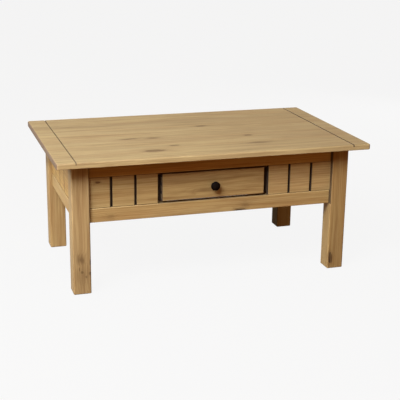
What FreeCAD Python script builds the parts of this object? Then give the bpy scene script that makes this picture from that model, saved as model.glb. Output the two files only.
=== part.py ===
import FreeCAD, Part
import math
import os

import Sketcher

# A pine coffee table with one drawer.
# Millimetres. The origin is on the floor under the middle of the top.
# +X is to the right, +Y to the back and +Z up.
# Pieces of the left and front are drawn from a corner of their own, and the right and back ones mirror them.

# Driving sizes: name, value, what it measures
SIZES = (
    # Top
    ("top_length", 1000, "length of the top"),
    ("top_depth", 600, "depth of the top"),
    ("top_thickness", 18, "thickness of the top"),
    ("table_height", 430, "floor to the upper side of the top"),
    ("top_edge_round", 4.5, "round on the upper edges of the top"),
    ("top_lower_round", 2, "round on the lower edges of the top"),
    ("top_corner_round", 6, "round on the corners of the top, seen from above"),
    ("top_groove_inset", 58, "end of the top to the middle of its groove"),
    ("top_groove_width", 3.5, "width of the groove across the top"),
    ("top_groove_depth", 2.5, "depth of the groove across the top"),
    # Legs
    ("end_overhang", 50, "end of the top past the legs"),
    ("front_overhang", 50, "front and back of the top past the legs"),
    ("leg_width", 55, "side of the square leg"),
    ("leg_arris_round", 4, "round on the upright edges of a leg"),
    ("foot_chamfer", 2, "chamfer round the foot of a leg"),
    # Apron
    ("rail_setback", 12, "outer face of a leg to the face of a rail"),
    ("rail_thickness", 22, "thickness of a rail"),
    ("top_rail_height", 47, "height of a top rail"),
    ("panel_height", 97, "height of a panel between its rails"),
    ("bottom_rail_height", 44, "height of a bottom rail"),
    ("rail_arris_round", 2, "round on the outer edges of a rail"),
    ("panel_recess", 2, "face of a rail to the face of a panel"),
    ("panel_thickness", 15, "thickness of a panel"),
    ("tongue_thickness", 6, "thickness of a panel's tongues"),
    ("tongue_length", 8, "how far a tongue enters its rail"),
    ("tongue_slack", 0.5, "room between a tongue and the bottom of its groove"),
    ("front_board_count", 3, "boards in a front panel"),
    ("end_board_count", 5, "boards in an end panel"),
    ("back_board_count", 11, "boards in the back panel"),
    ("outer_board_trim", 5.5, "how much narrower the outer boards of a panel are than the others"),
    ("board_groove_width", 6, "width of an upright groove"),
    ("board_groove_depth", 8, "depth of an upright groove"),
    # Dowels
    ("dowel_radius", 4, "radius of a dowel"),
    ("dowel_length", 40, "length of a dowel, half in the leg and half in the rail"),
    ("dowel_inset", 11, "plain edge of a rail to its first dowel"),
    ("dowel_spacing", 18, "first dowel to the second"),
    ("dowel_slack", 1, "room past the end of a dowel"),
    ("bore_clearance", 0.1, "hole radius over the radius of the dowel, bolt or screw in it"),
    # Corner blocks and hanger bolts
    ("block_thickness", 28, "thickness of a corner block across the corner"),
    ("block_height", 40, "height of a corner block"),
    ("block_gap", 3, "inner edge of a leg to its corner block"),
    ("bolt_radius", 4, "radius of a hanger bolt"),
    ("bolt_engagement", 28, "how far a hanger bolt enters the leg"),
    ("bolt_tail", 5, "hanger bolt past its nut"),
    ("washer_radius", 9, "radius of a washer"),
    ("washer_thickness", 1.6, "thickness of a washer"),
    ("nut_radius", 7.5, "radius of a nut over its corners"),
    ("nut_height", 6.5, "height of a nut"),
    # Screws and brackets
    ("screw_radius", 2, "radius of a wood screw"),
    ("screw_head_radius", 4, "radius of a wood screw's head"),
    ("screw_head_height", 2.5, "height of a wood screw's head"),
    ("screw_tip", 4, "length of a screw's point"),
    ("block_screw_seat", 14, "rail to the head of a corner block screw"),
    ("block_screw_bite", 13, "how far a corner block screw enters the rail"),
    ("top_screw_shift", 12, "how far a top screw stands to the side of the hanger bolt"),
    ("top_screw_bite", 10, "how far a screw enters the top from below"),
    ("bracket_leg", 28, "length of each leg of a steel angle"),
    ("bracket_width", 20, "width of a steel angle"),
    ("bracket_thickness", 2, "thickness of a steel angle"),
    ("bracket_inset", 115, "leg to the middle of a steel angle"),
    ("bracket_hole_inset", 9, "free end of a steel angle to its screw"),
    ("bracket_screw_bite", 10, "how far an angle's screw enters the wood"),
    # Drawer
    ("opening_width", 362, "width of the drawer opening between the panels"),
    ("drawer_side_gap", 14, "drawer front to the panel beside it"),
    ("drawer_top_gap", 5, "drawer front to the top rail"),
    ("drawer_bottom_gap", 6, "drawer front to the bottom rail"),
    ("drawer_front_thickness", 18, "thickness of the drawer front"),
    ("drawer_front_round", 2, "round on the edges of the drawer front"),
    ("drawer_back_room", 52, "back end of the drawer to the back rails"),
    ("drawer_side_thickness", 12, "thickness of a drawer side"),
    ("drawer_side_drop", 6, "top of the drawer front to the top of a drawer side"),
    ("drawer_back_thickness", 12, "thickness of the drawer back"),
    ("drawer_back_inset", 8, "end of a drawer side to the drawer back"),
    ("drawer_housing_depth", 5, "how far the drawer back enters a drawer side"),
    ("drawer_bottom_thickness", 4, "thickness of the drawer bottom"),
    ("drawer_bottom_inset", 8, "lower edge of a drawer side to the drawer bottom"),
    ("drawer_groove_depth", 5, "depth of the groove round the drawer bottom"),
    ("drawer_groove_slack", 0.5, "room between the drawer bottom and the end of its groove"),
    ("drawer_screw_inset", 45, "inside of a drawer side to the outer screws of the drawer back"),
    ("drawer_screw_bite", 12, "how far a drawer bottom screw enters the drawer back"),
    ("tail_count", 3, "number of dovetails on a drawer side"),
    ("tail_length", 12, "length of a dovetail"),
    ("tail_neck", 13, "height of a dovetail at its neck"),
    ("tail_end", 17, "height of a dovetail at its end"),
    # Runners
    ("run_clearance", 0.3, "drawer to the runner below it and the stop behind it"),
    ("guide_clearance", 1, "drawer side to the guide beside it"),
    ("guide_width", 18, "width of a guide"),
    ("bar_width", 39, "width of a runner or kicker"),
    ("runner_height", 30, "height of a runner"),
    ("kicker_height", 34, "height of a kicker"),
    ("kicker_gap", 2, "drawer side to the kicker above it"),
    ("stub_length", 8, "length of the stub tenon on a runner or kicker"),
    ("stub_height", 10, "height of the stub tenon"),
    ("stub_shoulder", 5, "side of a runner or kicker to its stub tenon"),
    ("stub_wall", 3, "wood between a panel's groove and a stub tenon"),
    ("stop_length", 20, "length of a drawer stop"),
    ("stop_height", 16, "height of a drawer stop"),
    ("stop_screw_bite", 15, "how far a stop's screw enters the runner"),
    # Knob
    ("knob_radius", 14.5, "radius of the knob's head"),
    ("knob_foot_radius", 8, "radius of the knob's foot"),
    ("knob_foot_height", 3, "height of the knob's foot"),
    ("knob_neck_radius", 5.5, "radius of the knob's neck"),
    ("knob_neck_height", 8, "drawer front to the end of the knob's neck"),
    ("knob_flare_height", 14, "drawer front to the widest line of the knob"),
    ("knob_rim_height", 4, "height of the knob's rim"),
    ("knob_dome_height", 6, "height of the knob's domed face"),
    ("knob_edge_round", 1.5, "round behind the knob's rim and on its foot"),
    ("knob_neck_round", 3, "hollow round where the knob's neck meets its head"),
    ("knob_screw_depth", 12, "how far the knob's screw enters the knob"),
    ("knob_drop", 2.5, "middle of the drawer front down to the middle of the knob"),
    # Cutting
    ("overrun", 5, "how far a cut runs past the wood"),
)

# What follows from the driving sizes: name, formula, what it is
PLACES = (
    ("half_length", "Sizes.top_length / 2", "middle to the end of the top"),
    ("half_depth", "Sizes.top_depth / 2", "middle to the front of the top"),
    ("frame_side", "half_length - Sizes.end_overhang", "middle to the outer face of a leg, along X"),
    ("frame_front", "half_depth - Sizes.front_overhang", "middle to the outer face of a leg, along Y"),
    ("leg_height", "Sizes.table_height - Sizes.top_thickness", "floor to the under side of the top"),
    ("top_rail_low", "leg_height - Sizes.top_rail_height", "floor to the top rails"),
    ("panel_low", "top_rail_low - Sizes.panel_height", "floor to the visible part of the panels"),
    ("bottom_rail_low", "panel_low - Sizes.bottom_rail_height", "floor to the bottom rails"),
    ("long_span", "2 * (frame_side - Sizes.leg_width)", "length of a front or back rail"),
    ("short_span", "2 * (frame_front - Sizes.leg_width)", "length of an end rail"),
    ("rail_back", "Sizes.rail_setback + Sizes.rail_thickness", "outer face of a leg to the back of a rail"),
    ("front_face", "frame_front - Sizes.rail_setback", "middle to the face of a front rail"),
    ("front_inner", "frame_front - rail_back", "middle to the back of a front rail"),
    ("side_face", "frame_side - Sizes.rail_setback", "middle to the face of an end rail"),
    ("tongue_face", "(Sizes.panel_thickness - Sizes.tongue_thickness) / 2", "panel's face to its tongues"),
    ("tongue_groove", "Sizes.tongue_length + Sizes.tongue_slack", "depth of the groove for a tongue"),
    ("panel_width", "(long_span - Sizes.opening_width) / 2", "width of a front panel"),
    ("rail_middle", "Sizes.rail_setback + Sizes.rail_thickness / 2", "leg's face to a rail's middle"),
    ("dowel_bore", "Sizes.dowel_radius + Sizes.bore_clearance", "radius of a dowel's hole"),
    ("dowel_reach", "Sizes.dowel_length / 2 + Sizes.dowel_slack", "depth of a dowel's hole"),
    ("bolt_bore", "Sizes.bolt_radius + Sizes.bore_clearance", "radius of a hanger bolt's hole"),
    ("bolt_height", "leg_height - Sizes.block_height / 2", "floor to the hanger bolts"),
    ("bolt_end", "Sizes.leg_width - Sizes.bolt_engagement / sqrt(2)", "leg's corner to its bolt's end"),
    ("block_outer", "Sizes.bolt_engagement + Sizes.block_gap + Sizes.block_thickness",
     "bolt's end to the washer"),
    ("nut_seat", "block_outer + Sizes.washer_thickness", "bolt's end to the nut"),
    ("bolt_length", "nut_seat + Sizes.nut_height + Sizes.bolt_tail", "length of a hanger bolt"),
    ("block_near", "2 * (Sizes.leg_width - rail_back) + sqrt(2) * Sizes.block_gap",
     "inner corner of the rails to a block's near end"),
    ("block_far", "block_near + sqrt(2) * Sizes.block_thickness", "that corner to a block's far end"),
    ("block_middle", "(block_near + block_far) / 2", "that corner to the middle of a block's end"),
    ("top_screw_long", "rail_back + block_middle / 2 + Sizes.top_screw_shift", "leg's face to a top screw"),
    ("top_screw_short", "rail_back + block_middle / 2 - Sizes.top_screw_shift", "leg's other face to it"),
    ("bracket_side", "long_span / 2 - Sizes.bracket_inset", "middle to the middle of a steel angle"),
    ("screw_bore", "Sizes.screw_radius + Sizes.bore_clearance", "radius of a wood screw's hole"),
    ("head_bore", "Sizes.screw_head_radius + Sizes.bore_clearance", "radius of a screw head's hole"),
    ("drawer_low", "panel_low + Sizes.drawer_bottom_gap", "floor to the drawer"),
    ("drawer_height", "Sizes.panel_height - Sizes.drawer_bottom_gap - Sizes.drawer_top_gap",
     "height of the drawer front"),
    ("drawer_half", "Sizes.opening_width / 2 - Sizes.drawer_side_gap", "middle to a drawer front's end"),
    ("drawer_inner", "drawer_half - Sizes.drawer_side_thickness", "middle to the inside of a drawer side"),
    ("drawer_face", "front_face - Sizes.panel_recess", "middle to the face of the drawer front"),
    ("panel_inner", "drawer_face - Sizes.panel_thickness", "middle to the back of a front panel"),
    ("drawer_shoulder", "drawer_face - Sizes.drawer_front_thickness", "middle to the drawer front's back"),
    ("drawer_end", "front_inner - Sizes.drawer_back_room", "middle to the back end of the drawer"),
    ("back_rear", "drawer_end - Sizes.drawer_back_inset", "middle to the rear of the drawer back"),
    ("side_height", "drawer_height - Sizes.drawer_side_drop", "height of a drawer side"),
    ("side_length", "drawer_shoulder + drawer_end + Sizes.tail_length", "length of a drawer side"),
    ("drawer_screw_side", "drawer_inner - Sizes.drawer_screw_inset", "middle to the outer bottom screws"),
    ("tail_pitch", "side_height / Sizes.tail_count", "spacing of the dovetails"),
    ("bottom_top", "Sizes.drawer_bottom_inset + Sizes.drawer_bottom_thickness",
     "lower edge of a drawer side to the drawer back"),
    ("runner_top", "drawer_low - Sizes.run_clearance", "floor to the running face"),
    ("runner_low", "runner_top - Sizes.runner_height", "floor to the runners"),
    ("guide_face", "drawer_half + Sizes.guide_clearance", "middle to the face of a guide"),
    ("bar_outer", "guide_face + Sizes.guide_width", "middle to the outer side of a runner or kicker"),
    ("bar_length", "2 * front_inner", "length of a runner or kicker between its tenons"),
    ("ledge_width", "Sizes.bar_width - Sizes.guide_width - Sizes.guide_clearance", "width of a drawer stop"),
    ("kicker_low", "drawer_low + side_height + Sizes.kicker_gap", "floor to the kickers"),
    ("guide_height", "kicker_low - runner_top", "height of a guide, from its runner to the kicker"),
    ("runner_stub", "panel_low - tongue_groove - Sizes.stub_wall - Sizes.stub_height",
     "floor to a runner's tenon"),
    ("kicker_stub", "top_rail_low + tongue_groove + Sizes.stub_wall", "floor to a kicker's tenon"),
    ("stub_width", "Sizes.bar_width - 2 * Sizes.stub_shoulder", "width of a stub tenon"),
    ("stop_screw_back", "drawer_end + Sizes.run_clearance + Sizes.stop_length / 2",
     "middle to a stop's screw"),
    ("knob_height", "drawer_low + drawer_height / 2 - Sizes.knob_drop", "floor to the middle of the knob"),
    ("knob_front", "Sizes.knob_flare_height + Sizes.knob_rim_height + Sizes.knob_dome_height",
     "drawer front to the knob's tip"),
    ("knob_curve", "(Sizes.knob_radius ^ 2 / Sizes.knob_dome_height + Sizes.knob_dome_height) / 2",
     "radius of the knob's dome"),
)

# Directions of the holes and screws
DIRECTIONS = {
    "+X": FreeCAD.Vector(1, 0, 0),
    "-X": FreeCAD.Vector(-1, 0, 0),
    "+Y": FreeCAD.Vector(0, 1, 0),
    "-Y": FreeCAD.Vector(0, -1, 0),
    "+Z": FreeCAD.Vector(0, 0, 1),
    "-Z": FreeCAD.Vector(0, 0, -1),
    "diagonal": FreeCAD.Vector(1, 1, 0),
}
ACROSS = DIRECTIONS["+X"]
ALONG = DIRECTIONS["+Y"]
UP = DIRECTIONS["+Z"]

# Turns about the upright axis, in degrees
TO_THE_BACK = 180
TO_THE_LEFT = -90

# Two faces or edges this close are taken as the same place
TOLERANCE = 0.001

doc = FreeCAD.newDocument("coffee_table")
nodes = []


def fill_sheet(name, rows, prefix):
    """Write named values into a sheet, each with its meaning beside it."""
    sheet = doc.addObject("Spreadsheet::Sheet", name)
    for row, (alias, value, meaning) in enumerate(rows, 1):
        sheet.set(f"A{row}", meaning)
        sheet.set(f"B{row}", f"{prefix}{value}")
        sheet.setAlias(f"B{row}", alias)
    doc.recompute()
    return sheet


def node(piece):
    """Count a finished piece among those that are written out."""
    nodes.append(piece)
    return piece


def bind_point(piece, path, x, y, z):
    """Tie the three coordinates of a place to expressions."""
    for axis, expression in zip("xyz", (x, y, z)):
        piece.setExpression(f"{path}.Base.{axis}", expression)


def turned(direction):
    """Give the rotation that lays the upright axis along a direction."""
    return FreeCAD.Placement(FreeCAD.Vector(), FreeCAD.Rotation(UP, DIRECTIONS[direction]))


def new_body(label, x, y, z, direction="+Z", turn=0):
    """Start a piece at a place, its own upright axis along a direction or turned about it by degrees."""
    body = doc.addObject("PartDesign::Body", label)
    body.Placement = turned(direction)
    if turn:
        body.Placement = FreeCAD.Placement(FreeCAD.Vector(), FreeCAD.Rotation(UP, turn))
    bind_point(body, "Placement", x, y, z)
    return body


def origin_feature(body, role):
    """Find a plane or axis of a body's own origin."""
    return next(item for item in body.Origin.OriginFeatures if item.Role == role)


def attach(feature, body, plane):
    """Lay a sketch or a solid on a plane of its body's origin."""
    feature.AttachmentSupport = [(origin_feature(body, plane), "")]
    feature.MapMode = "FlatFace"


def new_sketch(body, name, plane, lift):
    """Start a sketch on a plane of the body, raised from it by an expression."""
    sketch = body.newObject("Sketcher::SketchObject", name)
    attach(sketch, body, plane)
    sketch.setExpression("AttachmentOffset.Base.z", lift)
    return sketch


def pin_point(sketch, curve, point, x, y):
    """Hold a point of a sketch at two distances from the sketch's origin."""
    seed = sketch.getPoint(curve, point)
    for kind, axis, start, expression in (("DistanceX", -2, seed.x, x), ("DistanceY", -1, seed.y, y)):
        if expression == "0":
            sketch.addConstraint(Sketcher.Constraint("PointOnObject", curve, point, axis))
        else:
            index = sketch.addConstraint(Sketcher.Constraint(kind, -1, 1, curve, point, start))
            sketch.setExpression(f"Constraints[{index}]", expression)


def draw_outline(sketch, corners):
    """Draw a closed outline of straight lines through corners given as pairs of expressions."""
    first = sketch.GeometryCount
    count = len(corners)
    turns = [2 * math.pi * step / count for step in range(count)]
    seeds = [FreeCAD.Vector(1 + math.cos(turn), 1 + math.sin(turn), 0) for turn in turns]
    for step in range(count):
        sketch.addGeometry(Part.LineSegment(seeds[step], seeds[(step + 1) % count]))
    for step in range(count):
        following = first + (step + 1) % count
        sketch.addConstraint(Sketcher.Constraint("Coincident", first + step, 2, following, 1))
    for step, (x, y) in enumerate(corners):
        pin_point(sketch, first + step, 1, x, y)


def outline(body, name, plane, corners, lift="0"):
    """Sketch one closed outline on a plane of the body."""
    sketch = new_sketch(body, name, plane, lift)
    draw_outline(sketch, corners)
    return sketch


def rectangle_corners(x_low, y_low, x_high, y_high):
    """List the corners of a rectangle."""
    return ((x_low, y_low), (x_high, y_low), (x_high, y_high), (x_low, y_high))


def extrude(body, kind, sketch, name, length, reverse=False):
    """Add or cut the outline of a sketch through a length."""
    feature = body.newObject(f"PartDesign::{kind}", name)
    feature.Profile = sketch
    feature.Reversed = reverse
    feature.setExpression("Length", length)
    return feature


def board(label, length, width, height, x, y, z, turn=0):
    """Make a plain board with its low corner at a place."""
    body = new_body(label, x, y, z, turn=turn)
    face = outline(body, f"{label}_plan", "XY_Plane", rectangle_corners("0", "0", length, width))
    extrude(body, "Pad", face, f"{label}_blank", height)
    return body


def block(body, kind, name, x, y, z, length, width, height):
    """Add or cut a square tenon, mortise or groove at a place of the body."""
    box = body.newObject(f"PartDesign::{kind}Box", name)
    attach(box, body, "XY_Plane")
    bind_point(box, "AttachmentOffset", x, y, z)
    for side, expression in (("Length", length), ("Width", width), ("Height", height)):
        box.setExpression(side, expression)
    return box


def bore(body, name, direction, radius, depth, x, y, z):
    """Drill a round hole from a place of the body in a direction."""
    hole = body.newObject("PartDesign::SubtractiveCylinder", name)
    attach(hole, body, "XY_Plane")
    hole.AttachmentOffset = turned(direction)
    bind_point(hole, "AttachmentOffset", x, y, z)
    hole.setExpression("Radius", radius)
    hole.setExpression("Height", depth)
    return hole


def repeat(body, features, name, axis, pitch, count):
    """Repeat features along an axis of the body."""
    pattern = body.newObject("PartDesign::LinearPattern", name)
    pattern.Originals = features
    pattern.Direction = (origin_feature(body, axis), [""])
    pattern.Mode = "Spacing"
    pattern.setExpression("Offset", pitch)
    pattern.setExpression("Occurrences", count)
    body.Tip = pattern
    return pattern


def edges_where(feature, test):
    """Name the edges of a feature whose bounding box passes a test."""
    doc.recompute()
    return [f"Edge{place}" for place, edge in enumerate(feature.Shape.Edges, 1) if test(edge.BoundBox)]


def ease(body, kind, name, test, size):
    """Round or chamfer the edges of the newest form that pass a test."""
    base = body.Tip
    feature = body.newObject(f"PartDesign::{kind}", name)
    feature.Base = (base, edges_where(base, test))
    feature.setExpression("Radius" if kind == "Fillet" else "Size", size)
    return feature


def upright(box):
    """Tell an upright edge."""
    return box.ZLength > TOLERANCE and box.XLength < TOLERANCE and box.YLength < TOLERANCE


def level(box):
    """Tell an edge that lies in a level plane."""
    return box.ZLength < TOLERANCE


def at_floor(box):
    """Tell an edge in the plane of the body's origin."""
    return abs(box.ZMax) < TOLERANCE


def raised(box):
    """Tell a level edge above the plane of the body's origin."""
    return level(box) and not at_floor(box)


def on_face(box):
    """Tell an edge of the outer face, where the body's Y begins."""
    return abs(box.YMax) < TOLERANCE


def long_on_face(box):
    """Tell an edge of the outer face that runs along the piece."""
    return on_face(box) and box.XLength > TOLERANCE


def ring_at(height, radius):
    """Give the test for a round edge about the upright axis at a height."""
    def test(box):
        at_height = level(box) and abs(box.ZMax - height) < TOLERANCE
        return at_height and abs(box.XMax - radius) < TOLERANCE
    return test


def mirrored(source, normal, label):
    """Mirror a piece through the middle of the table."""
    copy = doc.addObject("Part::Mirroring", label)
    copy.Source = source
    copy.Normal = normal
    return copy


def gathered(label, members):
    """Gather separate solids in one group."""
    group = doc.addObject("Part::Compound", label)
    group.Links = members
    return group


def in_pair(label, members):
    """Gather pieces of the left with their mirror copies on the right."""
    left = gathered(f"{label}_of_left", members)
    return node(gathered(label, [left, mirrored(left, ACROSS, f"{label}_of_right")]))


def in_four(label, members):
    """Gather pieces of the front left corner with their copies in the other three corners."""
    left = gathered(f"{label}_of_left", members)
    front = gathered(f"{label}_of_front", [left, mirrored(left, ACROSS, f"{label}_of_right")])
    return node(gathered(label, [front, mirrored(front, ALONG, f"{label}_of_back")]))


def at_both_sides(stem, left):
    """Keep a left piece and its mirror copy on the right."""
    node(left)
    node(mirrored(left, ACROSS, f"{stem}_right"))


def at_four_corners(stem, front_left):
    """Keep a front left piece and its copies in the other three corners."""
    node(front_left)
    node(mirrored(front_left, ACROSS, f"{stem}_front_right"))
    back_left = node(mirrored(front_left, ALONG, f"{stem}_back_left"))
    node(mirrored(back_left, ACROSS, f"{stem}_back_right"))


def from_both_ends(span, distance):
    """Give a distance from each end of a span."""
    return (distance, f"{span} - ({distance})")


def rod(label, direction, radius, length, x, y, z):
    """Make a plain round rod from a place in a direction."""
    cylinder = doc.addObject("Part::Cylinder", label)
    cylinder.Placement = turned(direction)
    bind_point(cylinder, "Placement", x, y, z)
    cylinder.setExpression("Radius", radius)
    cylinder.setExpression("Height", length)
    return cylinder


def screw(label, direction, length, x, y, z):
    """Turn a pan-head wood screw whose head begins at a place."""
    body = new_body(label, x, y, z, direction)
    end = f"Sizes.screw_head_height + {length}"
    corners = (
        ("0", "0"),
        ("Sizes.screw_head_radius", "0"),
        ("Sizes.screw_head_radius", "Sizes.screw_head_height"),
        ("Sizes.screw_radius", "Sizes.screw_head_height"),
        ("Sizes.screw_radius", f"{end} - Sizes.screw_tip"),
        ("0", end),
    )
    revolve(body, outline(body, f"{label}_profile", "XZ_Plane", corners))
    return body


def revolve(body, profile):
    """Turn a profile about the body's upright axis."""
    feature = body.newObject("PartDesign::Revolution", f"{body.Label}_turned")
    feature.Profile = profile
    feature.ReferenceAxis = (origin_feature(body, "Z_Axis"), [""])
    return feature


def make_top():
    """Make the top: rounded all round, with a groove across each end."""
    top = board(
        "table_top", "Sizes.top_length", "Sizes.top_depth", "Sizes.top_thickness",
        "-Places.half_length", "-Places.half_depth", "Places.leg_height",
    )
    ease(top, "Fillet", "top_corners", upright, "Sizes.top_corner_round")
    ease(top, "Fillet", "top_upper_edges", raised, "Sizes.top_edge_round")
    ease(top, "Fillet", "top_lower_edges", at_floor, "Sizes.top_lower_round")
    for step, middle in enumerate(from_both_ends("Sizes.top_length", "Sizes.top_groove_inset")):
        block(
            top, "Subtractive", f"top_groove_{step}",
            f"{middle} - Sizes.top_groove_width / 2", "-Sizes.overrun",
            "Sizes.top_thickness - Sizes.top_groove_depth",
            "Sizes.top_groove_width", "Sizes.top_depth + 2 * Sizes.overrun",
            "Sizes.top_groove_depth + Sizes.overrun",
        )
    screw_places = (
        ("Sizes.end_overhang + Places.top_screw_long", "Sizes.front_overhang + Places.top_screw_short",
         "Sizes.top_screw_bite"),
        ("Places.half_length - Places.bracket_side",
         "Places.half_depth - Places.front_inner + Sizes.bracket_leg - Sizes.bracket_hole_inset",
         "Sizes.bracket_screw_bite"),
    )
    for place, (from_end, from_front, bite) in enumerate(screw_places):
        for column, x in enumerate(from_both_ends("Sizes.top_length", from_end)):
            for row, y in enumerate(from_both_ends("Sizes.top_depth", from_front)):
                name = f"top_screw_hole_{place}{column}{row}"
                bore(top, name, "+Z", "Places.screw_bore", f"{bite} + Sizes.bore_clearance", x, y, "0")
    node(top)


def dowel_heights():
    """List the heights of the dowels over the floor: two in a bottom rail and two in a top rail."""
    low = "Places.bottom_rail_low + Sizes.dowel_inset"
    high = "Places.leg_height - Sizes.dowel_inset"
    return (low, f"{low} + Sizes.dowel_spacing", high, f"{high} - Sizes.dowel_spacing")


def make_legs():
    """Make the four legs, each drilled for the dowels of two rails and for its hanger bolt."""
    leg = board(
        "leg_front_left", "Sizes.leg_width", "Sizes.leg_width", "Places.leg_height",
        "-Places.frame_side", "-Places.frame_front", "0",
    )
    ease(leg, "Fillet", "leg_arrises", upright, "Sizes.leg_arris_round")
    ease(leg, "Chamfer", "leg_foot", at_floor, "Sizes.foot_chamfer")
    for step, z in enumerate(dowel_heights()):
        bore(leg, f"leg_front_hole_{step}", "-X", "Places.dowel_bore", "Places.dowel_reach",
             "Sizes.leg_width", "Places.rail_middle", z)
        bore(leg, f"leg_side_hole_{step}", "-Y", "Places.dowel_bore", "Places.dowel_reach",
             "Places.rail_middle", "Sizes.leg_width", z)
    bore(leg, "leg_bolt_hole", "diagonal", "Places.bolt_bore", "Places.bolt_length",
         "Places.bolt_end", "Places.bolt_end", "Places.bolt_height")
    at_four_corners("leg", leg)


def make_rail(label, is_top, span, x, y, turn=0):
    """Make a rail with a dowel hole at both heights of both ends."""
    low = "Places.top_rail_low" if is_top else "Places.bottom_rail_low"
    height = "Sizes.top_rail_height" if is_top else "Sizes.bottom_rail_height"
    rail = board(label, span, "Sizes.rail_thickness", height, x, y, low, turn)
    ease(rail, "Fillet", f"{label}_arrises", long_on_face, "Sizes.rail_arris_round")
    heights = dowel_heights()[2:] if is_top else dowel_heights()[:2]
    for step, z in enumerate(heights):
        for side, direction, end in (("near", "+X", "0"), ("far", "-X", span)):
            bore(rail, f"{label}_hole_{side}_{step}", direction, "Places.dowel_bore",
                 "Places.dowel_reach", end, "Sizes.rail_thickness / 2", f"{z} - {low}")
    return rail


def groove_rail(rail, is_top, start, length):
    """Plough the groove that takes the tongue of a panel."""
    depth = "Places.tongue_groove + Sizes.overrun"
    z = "-Sizes.overrun" if is_top else "Sizes.bottom_rail_height - Places.tongue_groove"
    block(rail, "Subtractive", f"{rail.Label}_groove", start, "Sizes.panel_recess + Places.tongue_face", z,
          length, "Sizes.tongue_thickness", depth)


def mortise_rail(rail, is_top):
    """Chop the two mortises for the stub tenons of the runners or kickers."""
    z = "Places.runner_stub - Places.bottom_rail_low"
    if is_top:
        z = "Places.kicker_stub - Places.top_rail_low"
    left = "Places.long_span / 2 - Places.bar_outer + Sizes.stub_shoulder"
    right = "Places.long_span / 2 + Places.bar_outer - Sizes.bar_width + Sizes.stub_shoulder"
    for step, x in enumerate((left, right)):
        block(rail, "Subtractive", f"{rail.Label}_mortise_{step}",
              x, "Sizes.rail_thickness - Sizes.stub_length", z,
              "Places.stub_width", "Sizes.stub_length + Sizes.overrun", "Sizes.stub_height")


def drill_top_rail(rail, span, has_brackets):
    """Drill the back of a top rail for the screws of its corner blocks and steel angles."""
    block_screw = "Places.rail_back + Places.block_middle - Sizes.leg_width"
    rows = [(block_screw, "Places.bolt_height - Places.top_rail_low", "Sizes.block_screw_bite")]
    if has_brackets:
        z = "Sizes.top_rail_height - Sizes.bracket_leg + Sizes.bracket_hole_inset"
        rows.append(("Sizes.bracket_inset", z, "Sizes.bracket_screw_bite"))
    for row, (from_end, z, bite) in enumerate(rows):
        for column, x in enumerate(from_both_ends(span, from_end)):
            bore(rail, f"{rail.Label}_screw_hole_{row}{column}", "-Y", "Places.screw_bore",
                 f"{bite} + Sizes.bore_clearance", x, "Sizes.rail_thickness", z)


def make_panel(label, width, boards, x, y, turn=0):
    """Make a panel with tongues on its long edges and upright grooves in its face."""
    body = new_body(label, x, y, "Places.panel_low - Sizes.tongue_length", turn=turn)
    shoulder = "Sizes.tongue_length + Sizes.panel_height"
    tip = f"{shoulder} + Sizes.tongue_length"
    inner = "Places.tongue_face + Sizes.tongue_thickness"
    section = (
        ("0", "Sizes.tongue_length"), ("0", shoulder),
        ("Places.tongue_face", shoulder), ("Places.tongue_face", tip),
        (inner, tip), (inner, shoulder),
        ("Sizes.panel_thickness", shoulder), ("Sizes.panel_thickness", "Sizes.tongue_length"),
        (inner, "Sizes.tongue_length"), (inner, "0"),
        ("Places.tongue_face", "0"), ("Places.tongue_face", "Sizes.tongue_length"),
    )
    extrude(body, "Pad", outline(body, f"{label}_section", "YZ_Plane", section), f"{label}_blank", width)
    pitch = f"({width} + 2 * Sizes.outer_board_trim) / {boards}"
    first = f"{pitch} - Sizes.outer_board_trim - Sizes.board_groove_width / 2"
    cut = rectangle_corners(first, "0", f"{first} + Sizes.board_groove_width", tip)
    sketch = outline(body, f"{label}_groove_plan", "XZ_Plane", cut)
    groove = extrude(body, "Pocket", sketch, f"{label}_groove", "Sizes.board_groove_depth")
    repeat(body, [groove], f"{label}_grooves", "X_Axis", pitch, f"{boards} - 1")
    return body


def make_front():
    """Make the front: two rails and a panel on each side of the drawer opening."""
    for is_top, label in ((True, "front_top_rail"), (False, "front_bottom_rail")):
        rail = make_rail(label, is_top, "Places.long_span", "-Places.long_span / 2", "-Places.front_face")
        groove_rail(rail, is_top, "0", "Places.panel_width")
        groove_rail(rail, is_top, "Places.long_span - Places.panel_width", "Places.panel_width")
        mortise_rail(rail, is_top)
        if is_top:
            drill_top_rail(rail, "Places.long_span", True)
        node(rail)
    panel = make_panel("front_panel_left", "Places.panel_width", "Sizes.front_board_count",
                       "-Places.long_span / 2", "-Places.drawer_face")
    at_both_sides("front_panel", panel)


def make_back():
    """Make the back: two rails and one panel between the legs."""
    place = ("Places.long_span / 2", "Places.front_face", TO_THE_BACK)
    for is_top, label in ((True, "back_top_rail"), (False, "back_bottom_rail")):
        rail = make_rail(label, is_top, "Places.long_span", *place)
        groove_rail(rail, is_top, "0", "Places.long_span")
        mortise_rail(rail, is_top)
        if is_top:
            drill_top_rail(rail, "Places.long_span", True)
        node(rail)
    node(make_panel("back_panel", "Places.long_span", "Sizes.back_board_count",
                    "Places.long_span / 2", "Places.drawer_face", TO_THE_BACK))


def make_ends():
    """Make the left end, two rails and a panel, and mirror it for the right."""
    for is_top, stem in ((True, "top_rail"), (False, "bottom_rail")):
        rail = make_rail(f"left_{stem}", is_top, "Places.short_span",
                         "-Places.side_face", "Places.short_span / 2", TO_THE_LEFT)
        groove_rail(rail, is_top, "0", "Places.short_span")
        if is_top:
            drill_top_rail(rail, "Places.short_span", False)
        node(rail)
        node(mirrored(rail, ACROSS, f"right_{stem}"))
    panel = make_panel("left_panel", "Places.short_span", "Sizes.end_board_count",
                       "Sizes.panel_recess - Places.side_face", "Places.short_span / 2", TO_THE_LEFT)
    node(panel)
    node(mirrored(panel, ACROSS, "right_panel"))


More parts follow.
